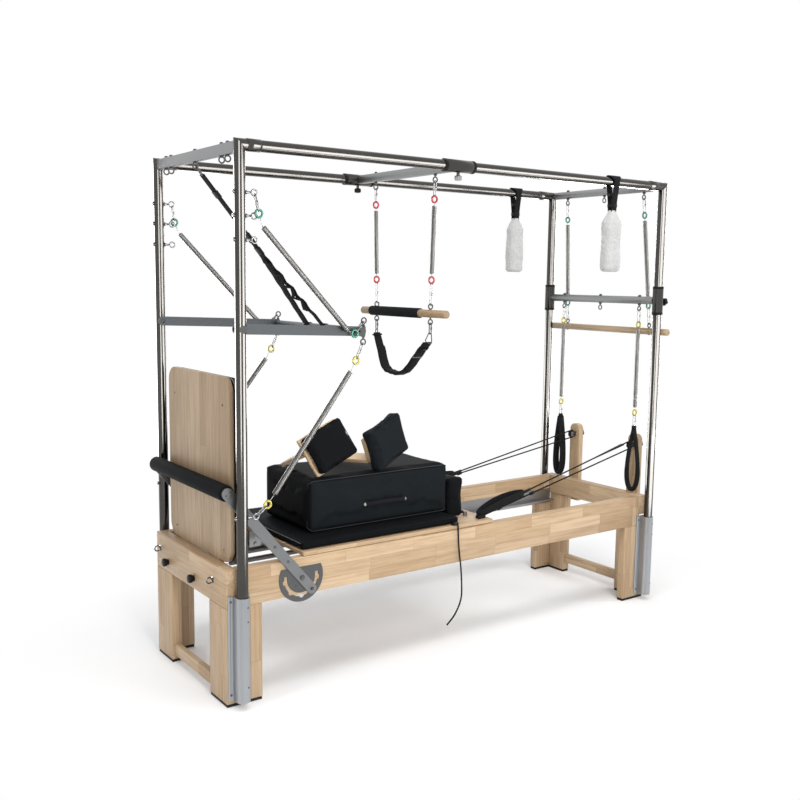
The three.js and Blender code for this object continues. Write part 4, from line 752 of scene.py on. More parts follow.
def eyebolt(shape, centre, way, near_face, far_face):
    """An eye with its shank through a tube or bar, nuts on both faces."""
    shape.add(eye(centre), 1)
    shape.add(rod(centre + way * EYE_RADIUS, centre + way * (far_face + 8), 4, 16), 1)
    shape.add(washer(centre + way * (near_face - 1.4), way), 1)
    shape.add(nut(centre + way * (near_face - 7.4), way), 1)
    shape.add(washer(centre + way * far_face, way), 1)
    shape.add(nut(centre + way * (far_face + 1.4), way, 7.5, 5.5), 1)


COIL_RADIUS, COIL_WIRE, COIL_PITCH = 9.8, 1.2, 2.6


def coil(start, end, lead):
    """A close-wound spring: a straight lead, one unbroken run of turns and a lead again."""
    steps, sides = 14, 5
    way = unit(end - start)
    length = np.linalg.norm(end - start)
    side = unit(np.cross(way, X if abs(way[0]) < 0.8 else Y))
    over = np.cross(way, side)
    total = round((length - 2 * lead) / COIL_PITCH) * steps
    line = [start]
    for i in range(total + 1):
        angle = 2 * math.pi * i / steps
        swell = min(1, min(i, total - i) / (0.7 * steps))
        out = side * math.cos(angle) + over * math.sin(angle)
        along = lead + (length - 2 * lead) * i / total
        line.append(start + way * along + out * (COIL_RADIUS * swell))
    line.append(end)
    return sweep(line, circle(COIL_WIRE, sides))


def hook(shape, start, end, normal, mark):
    """A long snap link whose round ends lie on two points, with its gate sleeve."""
    half, wire = 7.0, 2.4
    way = unit(end - start)
    side = unit(np.cross(way, normal))
    line = []
    for centre, first in ((end - way * half, 0), (start + way * half, math.pi)):
        for i in range(9):
            angle = first + math.pi * i / 8
            line.append(centre + side * half * math.cos(angle) + way * half * math.sin(angle))
    shape.add(sweep(line, circle(wire, 10), normal, True), mark)
    middle = (start + end) / 2 + side * half
    shape.add(rod(middle - way * 6, middle + way * 6, wire + 1.4, 12), mark)


# Wooden bed
FOOT_X, HEAD_X, RAIL_Y, INNER_Y = -1173, 1173, 340, 300
RAIL_TOP, RAIL_BOTTOM = 535, 385
RAIL_START, RAIL_STOP = SIDE_RAIL_START, 1074.7
RISER_Y = 209
SOLE = 12


def legs(edge, inward, top, name):
    """The two legs of one end, each of two boards on rubber soles."""
    boards, pads = Shape(), Shape()
    for side in (-1, 1):
        outer, inner, back = side * RAIL_Y, side * INNER_Y, side * (RAIL_Y - 153)
        boards.add(block(edge, edge + inward * 150, outer, inner, SOLE, RAIL_BOTTOM - 0.3, 3))
        boards.add(block(edge, edge + inward * 45, inner - side * 0.1, back, SOLE, top, 3))
        for reach, pad_outer, pad_inner in ((148, 338, 302), (43, 303, 189)):
            x0, x1 = edge + inward * 2, edge + inward * reach
            pads.add(block(x0, x1, side * pad_outer, side * pad_inner, 0, SOLE, 1.5))
    pads.make(f"{name}_feet", [RUBBER], "frame", "black_plastic")
    return boards


def wooden_bed():
    boards = legs(FOOT_X, 1, RAIL_BOTTOM, "foot_end")
    boards.make("foot_end_legs", [LEG_WOOD], "frame", "wood", "foot_end_frame")
    rails = Shape().add(block(FOOT_X, -1128, -RAIL_Y, RAIL_Y, RAIL_BOTTOM, RAIL_TOP, 4, 3))
    rails.add(block(FOOT_X + 10, FOOT_X + 35, -188, 188, 32, 80, 2))
    rails.make("foot_end_rail", [END_WOOD], "frame", "wood")
    boards = legs(HEAD_X, -1, 440, "head_end")
    for side in (-1, 1):
        boards.add(block(1075, 1117, side * RAIL_Y, side * INNER_Y, RAIL_BOTTOM, RAIL_TOP, 3))
        riser = side * RISER_Y
        boards.add(block(HEAD_X - 0.2, HEAD_X + 35, riser - 36, riser + 36, 452, 520, 3))
    boards.make("head_end_legs", [LEG_WOOD], "frame", "wood", "head_end_frame")
    rails = Shape().add(block(1117, HEAD_X, -RAIL_Y, RAIL_Y, 439, 537, 4, 3))
    rails.add(block(HEAD_X - 35, HEAD_X - 10, -188, 188, 54, 102, 2))
    rails.make("head_end_rail", [END_WOOD], "frame", "wood")
    for side, word in SIDES:
        inner, outer = side * INNER_Y, side * RAIL_Y
        rail = Shape().add(block(RAIL_START, RAIL_STOP, inner, outer, RAIL_BOTTOM, RAIL_TOP, 4, 3))
        rail.make(f"side_rail_{word}_board", [RAIL_WOOD], "frame", "wood", f"side_rail_{word}")
    eyes = Shape()
    for y in (300, -222):
        eyes.add(eye(at(FOOT_X - 14, y, 470)))
        eyes.add(lathe([(0, 0), (13, 0), (12, 1.6), (6, 2.6), (0, 2.6)], at(FOOT_X, y, 470), -X))
    eyes.make("foot_rail_eyes", [BRIGHT], "frame", "satin_steel")
    for y, word in ((-46, "near"), (216, "far")):
        knob = Shape()
        start = at(FOOT_X - 0.3, y, 430)
        head = [(0, 0), (12, 0), (12, 5), (15, 8), (17, 12), (17, 21), (15, 23.5), (0, 24)]
        knob.add(lathe([(0, -30), (6, -30), (6, 0), (0, 0)], start, -X, 20), 1)
        knob.add(lathe(head, start, -X, 32))
        node = f"plunger_{word}"
        knob.make(f"{node}_knob", [PLASTIC, BRIGHT], node, "black_plastic", node)


wooden_bed()


# Aluminium tracks inside the rails, and the bar with the springs' pegs
GEAR_BAR_X = -1010
CARRIAGE_SPRING_Y = (-180, -60, 60, 180)


def tracks():
    shape = Shape()
    wall, web, ledge = 299.7, 296.7, 261.7
    upper = [(wall, 380), (wall, 460), (web, 460), (web, 404)]
    section = [*upper, (ledge, 404), (ledge, 400), (web, 400), (web, 380)]
    for side in (-1, 1):
        shape.add(facing(plate([[(side * y, z) for y, z in section]], 2242, 0.3), -4))
    shape.add(block(GEAR_BAR_X - 18, GEAR_BAR_X + 18, -281, 281, 387, 417, 1.5))
    for y in CARRIAGE_SPRING_Y:
        shape.add(rod(at(GEAR_BAR_X, y, 416), at(GEAR_BAR_X, y, 443), 5))
    shape.make("carriage_tracks", [ALUMINIUM], "frame", "aluminium", "track_frame")


tracks()


# Canopy
POST_Y, FOOT_POST, HEAD_POST, CANOPY = 377, -1123, 1147, 2079
POST_EYES = (1915, 1833, 1748, 735)
POST_EYE_X = FOOT_POST + 57
TUBE, TUBE_WALL = 21, 2.2


def mitred_tube(start, end, low_cut, high_cut, steps=48):
    """A tube whose end rings are slid along its axis to lie in mitre planes."""
    way = unit(end - start)
    across = X if abs(way[2]) > 0.5 else Z
    points = []
    for ring in (circle(TUBE, steps), circle(TUBE - TUBE_WALL, steps)):
        for base, cut in ((start, low_cut), (end, high_cut)):
            points.extend(base + across * u + Y * v + way * (u * cut) for u, v in ring)
    faces = []
    a, b, c, d = (ring * steps for ring in range(4))
    for k in range(steps):
        n = (k + 1) % steps
        faces.append([a + k, a + n, b + n, b + k])
        faces.append([c + n, c + k, d + k, d + n])
        faces.append([a + n, a + k, c + k, c + n])
        faces.append([b + k, b + n, d + n, d + k])
    return points, faces


def bracket_outline(post_x, side):
    """A flange with eased ends and two grooves, bowed round the post with four more grooves."""
    face, flange, reach = side * 340.3, side * BRACKET_FLANGE, 26.4
    edge = [(45, face), (45, flange - side * 3), (42, flange), (38, flange)]
    groove = [(36.5, flange - side * 1.2), (35, flange), (reach, flange)]
    outer = [(post_x - x, y) for x, y in edge + groove]
    bow = []
    for i in range(41):
        radius = reach - (1.5 if i in (9, 12, 28, 31) else 0)
        angle = math.pi * i / 40
        out = side * (POST_Y + radius * math.sin(angle))
        bow.append((post_x - radius * math.cos(angle), out))
    mirrored = [(2 * post_x - x, y) for x, y in reversed(outer)]
    ring = [*outer, *bow, *mirrored]
    return ring if side < 0 else ring[::-1]


BRACKET_FLANGE, BRACKET_HEIGHT, BRACKET_MIDDLE = 350, 405, 232.5


def brackets():
    for post_x, end in ((FOOT_POST, "foot"), (HEAD_POST, "head")):
        for side, word in SIDES:
            shape = Shape()
            ring = bracket_outline(post_x, side)
            bore = ring_of(post_x, side * POST_Y, 21.8, 40)
            shape.add(level(plate([ring, bore], BRACKET_HEIGHT, 0.4), BRACKET_MIDDLE))
            for x, z in ((-37, 415), (37, 415), (-37, 52), (37, 52)):
                shape.add(dome(at(post_x + x, side * BRACKET_FLANGE, z), side * Y, 5, 2.6), 1)
            for z in (400, 345, 90):
                shape.add(dome(at(post_x + 9, side * 402, z), side * Y, 3.4, 1.6), 1)
            name = f"bracket_{end}_{word}"
            shape.make(f"{name}_channel", [ALUMINIUM, BRIGHT], "frame", "aluminium", name)


FOOT_BAR_EYE, HEAD_BAR_EYE, HAND_EYE_Y = 2037.5, 2036, 262


def crossbar(half, height, eye_height):
    """A round bar between the head posts, with three eye bolts under it."""
    bar = Shape().add(rod(at(HEAD_POST, -half, height), at(HEAD_POST, half, height), 19, 48))
    for y in (-HAND_EYE_Y, 0, HAND_EYE_Y):
        eyebolt(bar, at(HEAD_POST, y, eye_height), Z, 24, 62)
    return bar


def canopy():
    for side, word in SIDES:
        y = side * POST_Y
        post = Shape().add(mitred_tube(at(FOOT_POST, y, 34), at(FOOT_POST, y, CANOPY - 0.2), 0, -1))
        for height in POST_EYES:
            eyebolt(post, at(POST_EYE_X, y, height), -X, 57 - TUBE, 57 + TUBE)
        node = f"post_foot_{word}"
        post.make(f"{node}_tube", [CHROME, BRIGHT], "frame", "chrome_tube", node)
        post = Shape().add(mitred_tube(at(HEAD_POST, y, 34), at(HEAD_POST, y, CANOPY - 0.2), 0, 1))
        node = f"post_head_{word}"
        post.make(f"{node}_tube", [CHROME], "frame", "chrome_tube", node)
        start, end = at(FOOT_POST + 0.2, y, CANOPY), at(HEAD_POST - 0.2, y, CANOPY)
        node = f"top_rail_{word}"
        rail = Shape().add(mitred_tube(start, end, -1, 1))
        rail.make(f"{node}_tube", [CHROME], "frame", "chrome_tube", node)
        joints = Shape()
        for x in (-1097, 1042):
            start, end = at(x, y, CANOPY), at(x + 55, y, CANOPY)
            joints.add(sleeve(start, end, TUBE + 0.1, TUBE + 1.8, 48, 0.6))
        joints.make(f"{node}_sleeves", [CHROME], "frame", "chrome_tube")
    bar = Shape()
    bar.add(block(FOOT_POST - 12.5, FOOT_POST + 12.5, -355.7, 355.7, 2051.5, 2092.5, 2.5))
    for y in (-285, -235, 0, 235, 285):
        eyebolt(bar, at(FOOT_POST, y, FOOT_BAR_EYE), Z, 14, 55)
    bar.make("foot_crossbar_bar", [SATIN, BRIGHT], "frame", "satin_steel", "foot_crossbar")
    bar = crossbar(355.7, CANOPY, HEAD_BAR_EYE)
    bar.make("head_crossbar_tube", [SATIN, BRIGHT], "frame", "chrome_tube", "head_crossbar")


brackets()
canopy()


# Push-through bar on its pivot, with its springs and safety strap
DROOP = math.radians(2)
PIVOT_HEIGHT = 1430
BAR_ARM_Y, BAR_EYE_X, BAR_EYE_Z, CROSS_X = 351.4, 545, 42, 539


def from_pivot(x, y, z):
    return at(
        FOOT_POST + x * math.cos(DROOP) + z * math.sin(DROOP),
        y,
        PIVOT_HEIGHT - x * math.sin(DROOP) + z * math.cos(DROOP),
    )


def push_bar():
    """Drawn level with its pivot at zero, then dropped by its droop."""
    shape = Shape()
    nose = [*arc(549, -15, 4, 270, 360, 4), *arc(549, 15, 4, 0, 90, 4)]
    ring = [*arc(-1, 0, 19, 90, 270, 12), *nose]
    for side in (-1, 1):
        arm, inside, outside = side * BAR_ARM_Y, side * 347.4, side * 398.6
        shape.add(upright(plate([ring], 8, 0.8), arm))
        shape.add(rod(at(0, inside, 0), at(0, outside, 0), 6, 20), 1)
        shape.add(dome(at(0, outside, 0), side * Y, 15, 4), 1)
        shape.add(dome(at(0, inside, 0), -side * Y, 9, 5), 1)
        shape.add(rod(at(523, side * 352, 0), at(523, side * 375.4, 0), 4, 16), 1)
        shape.add(dome(at(534, side * 355.2, 0), side * Y, 21, 3), 1)
        shape.add(dome(at(523, side * 373, 0), side * Y, 6.5, 2.4), 1)
        for way in (-1, 1):
            shape.add(eye(at(BAR_EYE_X, arm, way * BAR_EYE_Z)), 1)
            shape.add(nut(at(BAR_EYE_X, arm, way * 19), way * Z, 7, 5), 1)
        shape.add(rod(at(BAR_EYE_X, arm, -31), at(BAR_EYE_X, arm, 31), 4, 16), 1)
    shape.add(rod(at(CROSS_X, -347.4, 0), at(CROSS_X, 347.4, 0), 15, 48))
    shape.points = [from_pivot(*point).tolist() for point in shape.points]
    shape.make("push_bar_arms", [ARM_STEEL, BRIGHT], "push_bar", "satin_steel", "push_bar")


RING_REACH = 13
LINK_ON_EYE = EYE_RADIUS - EYE_WIRE - 2.4 - 1.7


def slung_spring(name, colour, top_eye, top_ring, start, end, low_ring, low_eye):
    """A spring between two eyes, on a snap link and a coloured ring at each end."""
    shape = Shape()
    for hung, ring, tip in ((top_eye, top_ring, start), (low_eye, low_ring, end)):
        way = unit(ring - hung)
        hook(shape, hung + way * LINK_ON_EYE, ring - way * 7.6, np.cross(way, Y), 2)
        shape.add(snap_ring(ring), 1)
        shape.add(rod(ring + unit(tip - ring) * RING_REACH, tip, 1.5, 10))
    shape.add(coil(start, end, 4))
    finishes = [SPRING_STEEL, colour, BRIGHT]
    return shape.make(f"{name}_coil", finishes, "frame", "spring_steel", name, 75)


def push_springs():
    for side, word in SIDES:
        post_eye = at(POST_EYE_X, side * POST_Y, 1915)
        bar_eye = from_pivot(BAR_EYE_X, side * BAR_ARM_Y, BAR_EYE_Z)
        ring, bar_ring = at(FOOT_POST + 71, side * 385, 1842), at(-630, side * 369, 1404)
        start, end = at(-1034, side * 379, 1797), at(-662, side * 370, 1414)
        line = (post_eye, ring, start, end, bar_ring, bar_eye)
        piece = slung_spring(f"upper_spring_{word}", GREEN, *line)
        stretch(piece)
        bar_eye = from_pivot(BAR_EYE_X, side * BAR_ARM_Y, -BAR_EYE_Z)
        post_eye = at(POST_EYE_X, side * POST_Y, 735)
        bar_ring, ring = at(-613, side * 352, 1297), at(-1016, side * 374, 774)
        start, end = at(-637, side * 353.5, 1258), at(-989, side * 372.5, 806)
        line = (bar_eye, bar_ring, start, end, ring, post_eye)
        piece = slung_spring(f"lower_spring_{word}", YELLOW, *line)
        stretch(piece)


def stretch(piece):
    """A piece between two bodies is taken off its body and left where it stands."""
    piece.parent = None
    del piece["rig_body"]
    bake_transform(piece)


def safety_strap():
    top = at(FOOT_POST, 0, FOOT_BAR_EYE)
    cross = from_pivot(CROSS_X, 0, 0)
    way = unit(cross - top)
    shape = Shape()
    link_top = top + way * LINK_ON_EYE
    link_end = link_top + way * 42
    hook(shape, link_top, link_end, np.cross(way, Y), 1)
    fork = link_top + (cross - link_top) * 0.5
    shape.add(sweep([link_end - way * 5, fork + way * 6], strip(38, 4), Y))
    over = np.cross(Y, way)
    for share, length in ((0.16, 30), (0.42, 46), (0.5, 34)):
        middle, half = link_top + (cross - link_top) * share, way * length / 2
        shape.add(sweep([middle - half, middle + half], strip(43, 11, 0.8), Y), 2)
    for side in (-1, 1):
        middle = cross + side * 66 * Y
        end = middle - way * 17.6
        line = []
        for i in range(25):
            share = i / 24
            ripple = (4.5 if side < 0 else 1.2) * math.sin(share * 34) * math.sin(math.pi * share)
            line.append(fork + (end - fork) * share + over * ripple)
        shape.add(sweep(line, strip(30 if side < 0 else 46, 4), Y))
        if side < 0:
            slack = [over * (9 + 7 * math.sin(i * 1.7)) for i in range(18)]
            loose = [point + out for point, out in zip(line[2:-5], slack)]
            shape.add(sweep(loose, strip(26, 3), Y))
        shape.add(sleeve(middle - Y * 13, middle + Y * 13, 16.4, 18.8, 32, 0.5))
    finishes = [WEBBING, BRIGHT, PLASTIC]
    piece = shape.make("safety_strap_webbing", finishes, "frame", "webbing", "safety_strap")
    stretch(piece)


push_bar()
push_springs()
safety_strap()


# Trapeze: carrier on the top rails, two springs, bar and sling
CARRIER_X, CARRIER_EYE, CARRIER_EYE_Y = -136, 2036, 224
TRAPEZE_EYE, SLING_EYE, TRAPEZE_EYE_Y = 1501, 1434, 206


def lobed_knob(seat, way, radius=20, height=20, stem=12):
    """A hand knob with five soft lobes on a stem."""
    steps = 60
    top = stem + height
    levels = [(0.62, stem), (0.9, stem + 1.5), (1.0, stem + 5)]
    levels += [(1.0, top - 5), (0.9, top - 1.4), (0.55, top)]
    points = []
    for share, rise in levels:
        for step in range(steps):
            angle = 2 * math.pi * step / steps
            reach = radius * share * (1 - 0.09 * (1 - math.cos(5 * angle)))
            points.append((reach * math.cos(angle), reach * math.sin(angle), rise))
    return np.array(points) @ turned_from(way).T + seat, skin(len(levels), steps)


def collar_on(shape, start, end):
    """A sliding collar with darker end rings."""
    way = unit(end - start)
    shape.add(sleeve(start, end, 21.8, 26.0, 48), 3)
    shape.add(sleeve(start, start + way * 12, 25.9, 26.4, 48, 0.3), 2)
    shape.add(sleeve(end - way * 12, end, 25.9, 26.4, 48, 0.3), 2)


def carrier():
    x0, x1 = CARRIER_X - 15, CARRIER_X + 15
    bar = Shape().add(block(x0, x1, -354, 354, CANOPY - 19, CANOPY + 19, 2.5))
    for side in (-1, 1):
        y = side * POST_Y
        collar_on(bar, at(CARRIER_X - 79, y, CANOPY), at(CARRIER_X + 79, y, CANOPY))
        eyebolt(bar, at(CARRIER_X, side * CARRIER_EYE_Y, CARRIER_EYE), Z, 24, 62)
    finishes = [SATIN, BRIGHT, PLASTIC, CHROME]
    node = "trapeze_carrier"
    bar.make(f"{node}_bar", finishes, node, "satin_steel", node)
    for side, word in SIDES:
        seat = at(CARRIER_X, side * POST_Y, CANOPY - 26.7)
        knob = Shape().add(lobed_knob(seat, -Z, 16, 21, 11)).add(rod(seat, seat - Z * 12, 7, 20), 1)
        grip = STUD if side < 0 else PLASTIC
        node = f"carrier_knob_{word}"
        knob.make(f"{node}_grip", [grip, BRIGHT], node, "black_plastic", node)


def hanging_line(shape, upper, lower, ring_top, ring_bottom):
    """Link, ring, coil, ring, link from an upper to a lower place, the rings at two heights."""
    way = unit(lower - upper)
    top = upper + way * ((ring_top - upper[2]) / way[2])
    bottom = upper + way * ((ring_bottom - upper[2]) / way[2])
    normal = np.cross(way, Y)
    hook(shape, upper + way * LINK_ON_EYE, top - way * RING_REACH, normal, 2)
    hook(shape, bottom + way * RING_REACH, lower - way * LINK_ON_EYE, normal, 2)
    shape.add(snap_ring(top), 1)
    shape.add(snap_ring(bottom), 1)
    way = unit(bottom - top)
    shape.add(coil(top + way * RING_REACH, bottom - way * RING_REACH, 13))


def trapeze():
    for side, word in SIDES:
        shape = Shape()
        upper = at(CARRIER_X, side * CARRIER_EYE_Y, CARRIER_EYE)
        hanging_line(shape, upper, at(CARRIER_X, side * TRAPEZE_EYE_Y, TRAPEZE_EYE), 1955, 1614)
        node = f"trapeze_spring_{word}"
        finishes = [SPRING_STEEL, RED, BRIGHT]
        shape.make(f"{node}_coil", finishes, "trapeze", "spring_steel", node, 75)
    bar = Shape().add(rod(at(CARRIER_X, -320, 1470), at(CARRIER_X, 320, 1470), 17, 40, 2.5))
    bar.add(sleeve(at(CARRIER_X, -132, 1470), at(CARRIER_X, 247, 1470), 17.05, 22, 40, 1.5), 1)
    for y in (-TRAPEZE_EYE_Y, TRAPEZE_EYE_Y):
        upper, lower = at(CARRIER_X, y, TRAPEZE_EYE), at(CARRIER_X, y, SLING_EYE)
        bar.add(eye(upper), 2)
        bar.add(eye(lower), 2)
        bar.add(rod(lower + Z * EYE_RADIUS, upper - Z * EYE_RADIUS, 4, 16), 2)
        bar.add(washer(at(CARRIER_X, y, 1485.6), Z, 8), 2)
    bar.make("trapeze_bar_dowel", [DOWEL_WOOD, FOAM, BRIGHT], "trapeze", "wood", "trapeze_bar")


SLING = [
    *((204, 1368), (196, 1348), (167, 1288), (137, 1222), (108, 1199), (62, 1191)),
    *((14, 1189), (-43, 1212), (-99, 1261), (-153, 1312), (-188, 1344)),
]


def sling():
    shape = Shape()
    for y in (-TRAPEZE_EYE_Y, TRAPEZE_EYE_Y):
        hook(shape, at(CARRIER_X, y, 1430.1), at(CARRIER_X, y, 1382), X, 1)
    shape.add(hoop(at(CARRIER_X, TRAPEZE_EYE_Y, 1375), X, 9, 2.4), 1)
    buckle = [(-214, 1384), (-198, 1388), (-172, 1352), (-184, 1342), (-208, 1340), (-218, 1352)]
    shape.add(sweep([at(CARRIER_X, y, z) for y, z in buckle], circle(2.4, 10), X, True), 1)
    line = smooth_route([at(CARRIER_X, y, z) for y, z in SLING], 8)
    count = len(line)
    for i in range(6, count - 6):
        line[i] = line[i] + Z * 1.2 * math.sin(i * 0.9)
    shape.add(sweep(line, strip(50, 7, 0.7), X, False, lambda share: 1 - 0.26 * (1 - share) ** 3))
    inner = [point + unit(at(0, -point[1], 1400 - point[2])) * 6 for point in line[14:-8]]
    shape.add(sweep(inner, strip(44, 7, 0.8), X))
    for i in (3, count - 9):
        shape.add(sweep(line[i : i + 3], strip(55, 15, 0.9), X), 2)
    stitches = line[-15:-13]
    shape.add(sweep(stitches, strip(51, 8.4, 0.6), X), 3)
    finishes = [WEBBING, BRIGHT, PLASTIC, PIPING]
    shape.make("trapeze_sling_strap", finishes, "sling", "webbing", "trapeze_sling")


carrier()
trapeze()
sling()


# Fleece loops on the top rails
FLEECE_TOP, FLEECE_LENGTH = 1948, 284


def fleece_loop(middle, side, word):
    y = side * POST_Y
    strap = Shape()
    wrap = arc(0, CANOPY, 26, 0, 180, 16)
    route = [(9, 1936), (12, 1985), (18, 2030), *wrap, (-18, 2030), (-12, 1985), (-9, 1936)]
    line = [at(middle, y + across, height) for across, height in route]
    flare = lambda share: 1 + 1.1 * max(0, 1 - ((share - 0.5) / 0.36) ** 2) ** 1.5
    strap.add(sweep(line, strip(36, 2.6), X, False, flare))
    for height in (1962, 2012):
        line = [at(middle, y, height), at(middle, y, height + 14)]
        strap.add(sweep(line, strip(40, 34, 0.3), X), 1)
    strap.make(f"fleece_strap_{word}", [WEBBING, PLASTIC], f"fleece_loop_{word}", "webbing")
    rows, sides, corner = 90, 64, 3.2
    points = []
    for row in range(rows + 1):
        share = row / rows
        z = FLEECE_TOP - FLEECE_LENGTH * share
        shoulder = min(1, 0.36 + share / 0.2 * 0.64) if share < 0.2 else 1
        hem = 1 - (1 - min(1, (1 - share) / 0.05)) ** 2 * 0.3
        wave = 1 + 0.035 * math.sin(share * 11 + side) + 0.05 * share
        for k in range(sides):
            angle = 2 * math.pi * k / sides
            cx, cy = math.cos(angle), math.sin(angle)
            form = (abs(cx) ** corner + abs(cy) ** corner) ** (-1 / corner)
            spot = Vector((cx * 4.2, cy * 4.2, z / 12 + side * 9))
            puff = noise.noise(spot) * 2.6 + noise.noise(spot * 2.3) * 1.5
            reach = shoulder * hem * wave * form
            across, out = cx * (44 * reach + puff), cy * (32 * reach + puff)
            points.append((middle + across, y + out, z + puff * 0.4))
    shape = Shape().add((points, turned_over(skin(rows + 1, sides))))
    node = f"fleece_loop_{word}"
    fleece = shape.make(f"fleece_sleeve_{word}", [FLEECE], node, "fleece", node, 80)


fleece_loop(792, -1, "near")
fleece_loop(872, 1, "far")


# Head end: middle crossbar, roll-down bar and hand loops
MID, MID_EYE = 1527, 1484
DOWN_X, DOWN_Z, DOWN_EYE, DOWN_Y = 1202, 1370, 1400.5, 285


def mid_crossbar():
    bar = crossbar(354, MID, MID_EYE)
    for side in (-1, 1):
        middle = at(HEAD_POST, side * POST_Y, MID)
        collar_on(bar, middle - Z * 69.5, middle + Z * 69.5)
    finishes = [SATIN, BRIGHT, PLASTIC, CHROME]
    bar.make("mid_crossbar_tube", finishes, "mid_crossbar", "satin_steel", "mid_crossbar")
    seat = at(HEAD_POST + 26.7, -POST_Y, MID - 5)
    knob = Shape().add(lobed_knob(seat, X)).add(rod(seat, seat + X * 14, 6, 20), 1)
    knob.make("mid_knob_grip", [PLASTIC, BRIGHT], "mid_knob", "black_plastic", "mid_knob")


def roll_down():
    x = DOWN_X
    bar = Shape().add(rod(at(x, -405, DOWN_Z), at(x, 405, DOWN_Z), 16.5, 40, 3))
    for y in (-DOWN_Y, DOWN_Y):
        bar.add(eye(at(x, y, DOWN_EYE)), 1)
        bar.add(rod(at(x, y, 1350.5), at(x, y, DOWN_EYE - EYE_RADIUS), 4, 16), 1)
        bar.add(washer(at(x, y, 1384.5), Z, 8), 1)
        bar.add(dome(at(x, y, 1354), -Z, 6, 3.5), 1)
    bar.make("roll_down_bar_dowel", [DOWEL_WOOD, BRIGHT], "roll_down_bar", "wood", "roll_down_bar")
    for side, word in SIDES:
        shape = Shape()
        upper = at(HEAD_POST, side * HAND_EYE_Y, HEAD_BAR_EYE)
        hanging_line(shape, upper, at(x, side * DOWN_Y, DOWN_EYE), 1948, 1500)
        node = f"roll_down_spring_{word}"
        finishes = [SPRING_STEEL, GREEN, BRIGHT]
        shape.make(f"{node}_coil", finishes, "roll_down_bar", "spring_steel", node, 75)


def hand_loop(side, word, thickness, width, reach, foam):
    """A webbing loop with a foam sleeve round its lower half, on its own spring."""
    shape = Shape()
    y = side * HAND_EYE_Y
    hanging_line(shape, at(HEAD_POST, y, MID_EYE), at(HEAD_POST, y, 884 - LINK_ON_EYE), 1404, 955)
    name = f"hand_loop_{word}"
    finishes = [SPRING_STEEL, YELLOW, BRIGHT]
    shape.make(f"hand_spring_{word}_coil", finishes, name, "spring_steel", "", 75)
    loop = Shape()
    bottom, top, steps = 554, 871, 64
    line = []
    for i in range(steps):
        angle = 2 * math.pi * i / steps
        drop = (1 - math.cos(angle)) / 2
        out = math.sin(angle) * (0.72 + 0.28 * drop) * math.sqrt(drop + 0.03)
        line.append(at(HEAD_POST, y + reach * out, top + (bottom - top) * drop))
    loop.add(sweep(line, strip(width, thickness, 0.9), X, True))
    low = [point for point in line if point[2] < 700]
    low.sort(key=lambda point: math.atan2(point[1] - y, 760 - point[2]))
    ends = lambda share: 1 - (abs(share - 0.5) * 2) ** 8 * 0.3
    loop.add(sweep(low, foam, X, False, ends), 1)
    loop.add(sweep([at(HEAD_POST, y, 886), at(HEAD_POST, y, 845)], strip(27, 20, 0.7), X), 0)
    loop.add(sweep([at(HEAD_POST, y, 862), at(HEAD_POST, y, 850)], strip(30, 24, 0.7), X), 2)
    loop.make(f"{name}_strap", [WEBBING, FOAM, PLASTIC], name, "webbing", name)


mid_crossbar()
roll_down()
hand_loop(-1, "near", 12, 30, 50, circle(15, 16, 0.68))
hand_loop(1, "far", 12, 46, 36, circle(22, 16, 0.5))


# Risers with their pulleys
RISER_X = HEAD_X + 35.3
PULLEY_X, PULLEY_Z = RISER_X - 26, 777


def riser(side, word):
    y = side * RISER_Y
    top = [*arc(y + 6, 802, 30, 0, 90, 10), *arc(y - 6, 802, 30, 90, 180, 10)]
    outline = [(y - 36, 400), (y + 36, 400), *top]
    shape = Shape().add(facing(plate([outline], 30, 3), RISER_X + 15))
    low, high = PULLEY_Z - 13, PULLEY_Z + 13
    for cheek in (-1, 1):
        near = y + cheek * 8
        shape.add(block(PULLEY_X - 13, RISER_X + 2, near, near + cheek * 3, low, high, 1), 1)
        shape.add(dome(at(PULLEY_X, near + cheek * 3, PULLEY_Z), cheek * Y, 6, 2.5), 1)
    shape.add(rod(at(PULLEY_X, y - 11, PULLEY_Z), at(PULLEY_X, y + 11, PULLEY_Z), 4, 16), 1)
    seat = at(RISER_X + 27, y, PULLEY_Z)
    shape.add(lobed_knob(seat, X, 20, 20, 12), 2).add(rod(seat, seat + X * 14, 6, 20), 1)
    for z in (470, 505):
        shape.add(dome(at(RISER_X + 30, y, z), X, 6, 2.5), 1)
    finishes = [PLAIN_WOOD, BRIGHT, PLASTIC]
    shape.make(f"riser_{word}_board", finishes, "frame", "wood", f"riser_{word}")
    rim = [(5, -7), (19, -7), (20, -6), (20, -5), (14, -1.5)]
    profile = [*rim, *((radius, -height) for radius, height in rim[::-1]), rim[0]]
    wheel = Shape().add(lathe(profile, at(PULLEY_X, y, PULLEY_Z), Y, 48))
    node = f"pulley_{word}"
    wheel.make(f"{node}_wheel", [PLASTIC], node, "black_plastic", node)


for side, word in SIDES:
    riser(side, word)


# Ropes from the carriage round the pulleys to the soft loops
CARRIAGE_TOP = 553
CLEAT_X, CLEAT_Y, HAND_X, HAND_Z = 95, 300, 385, 628


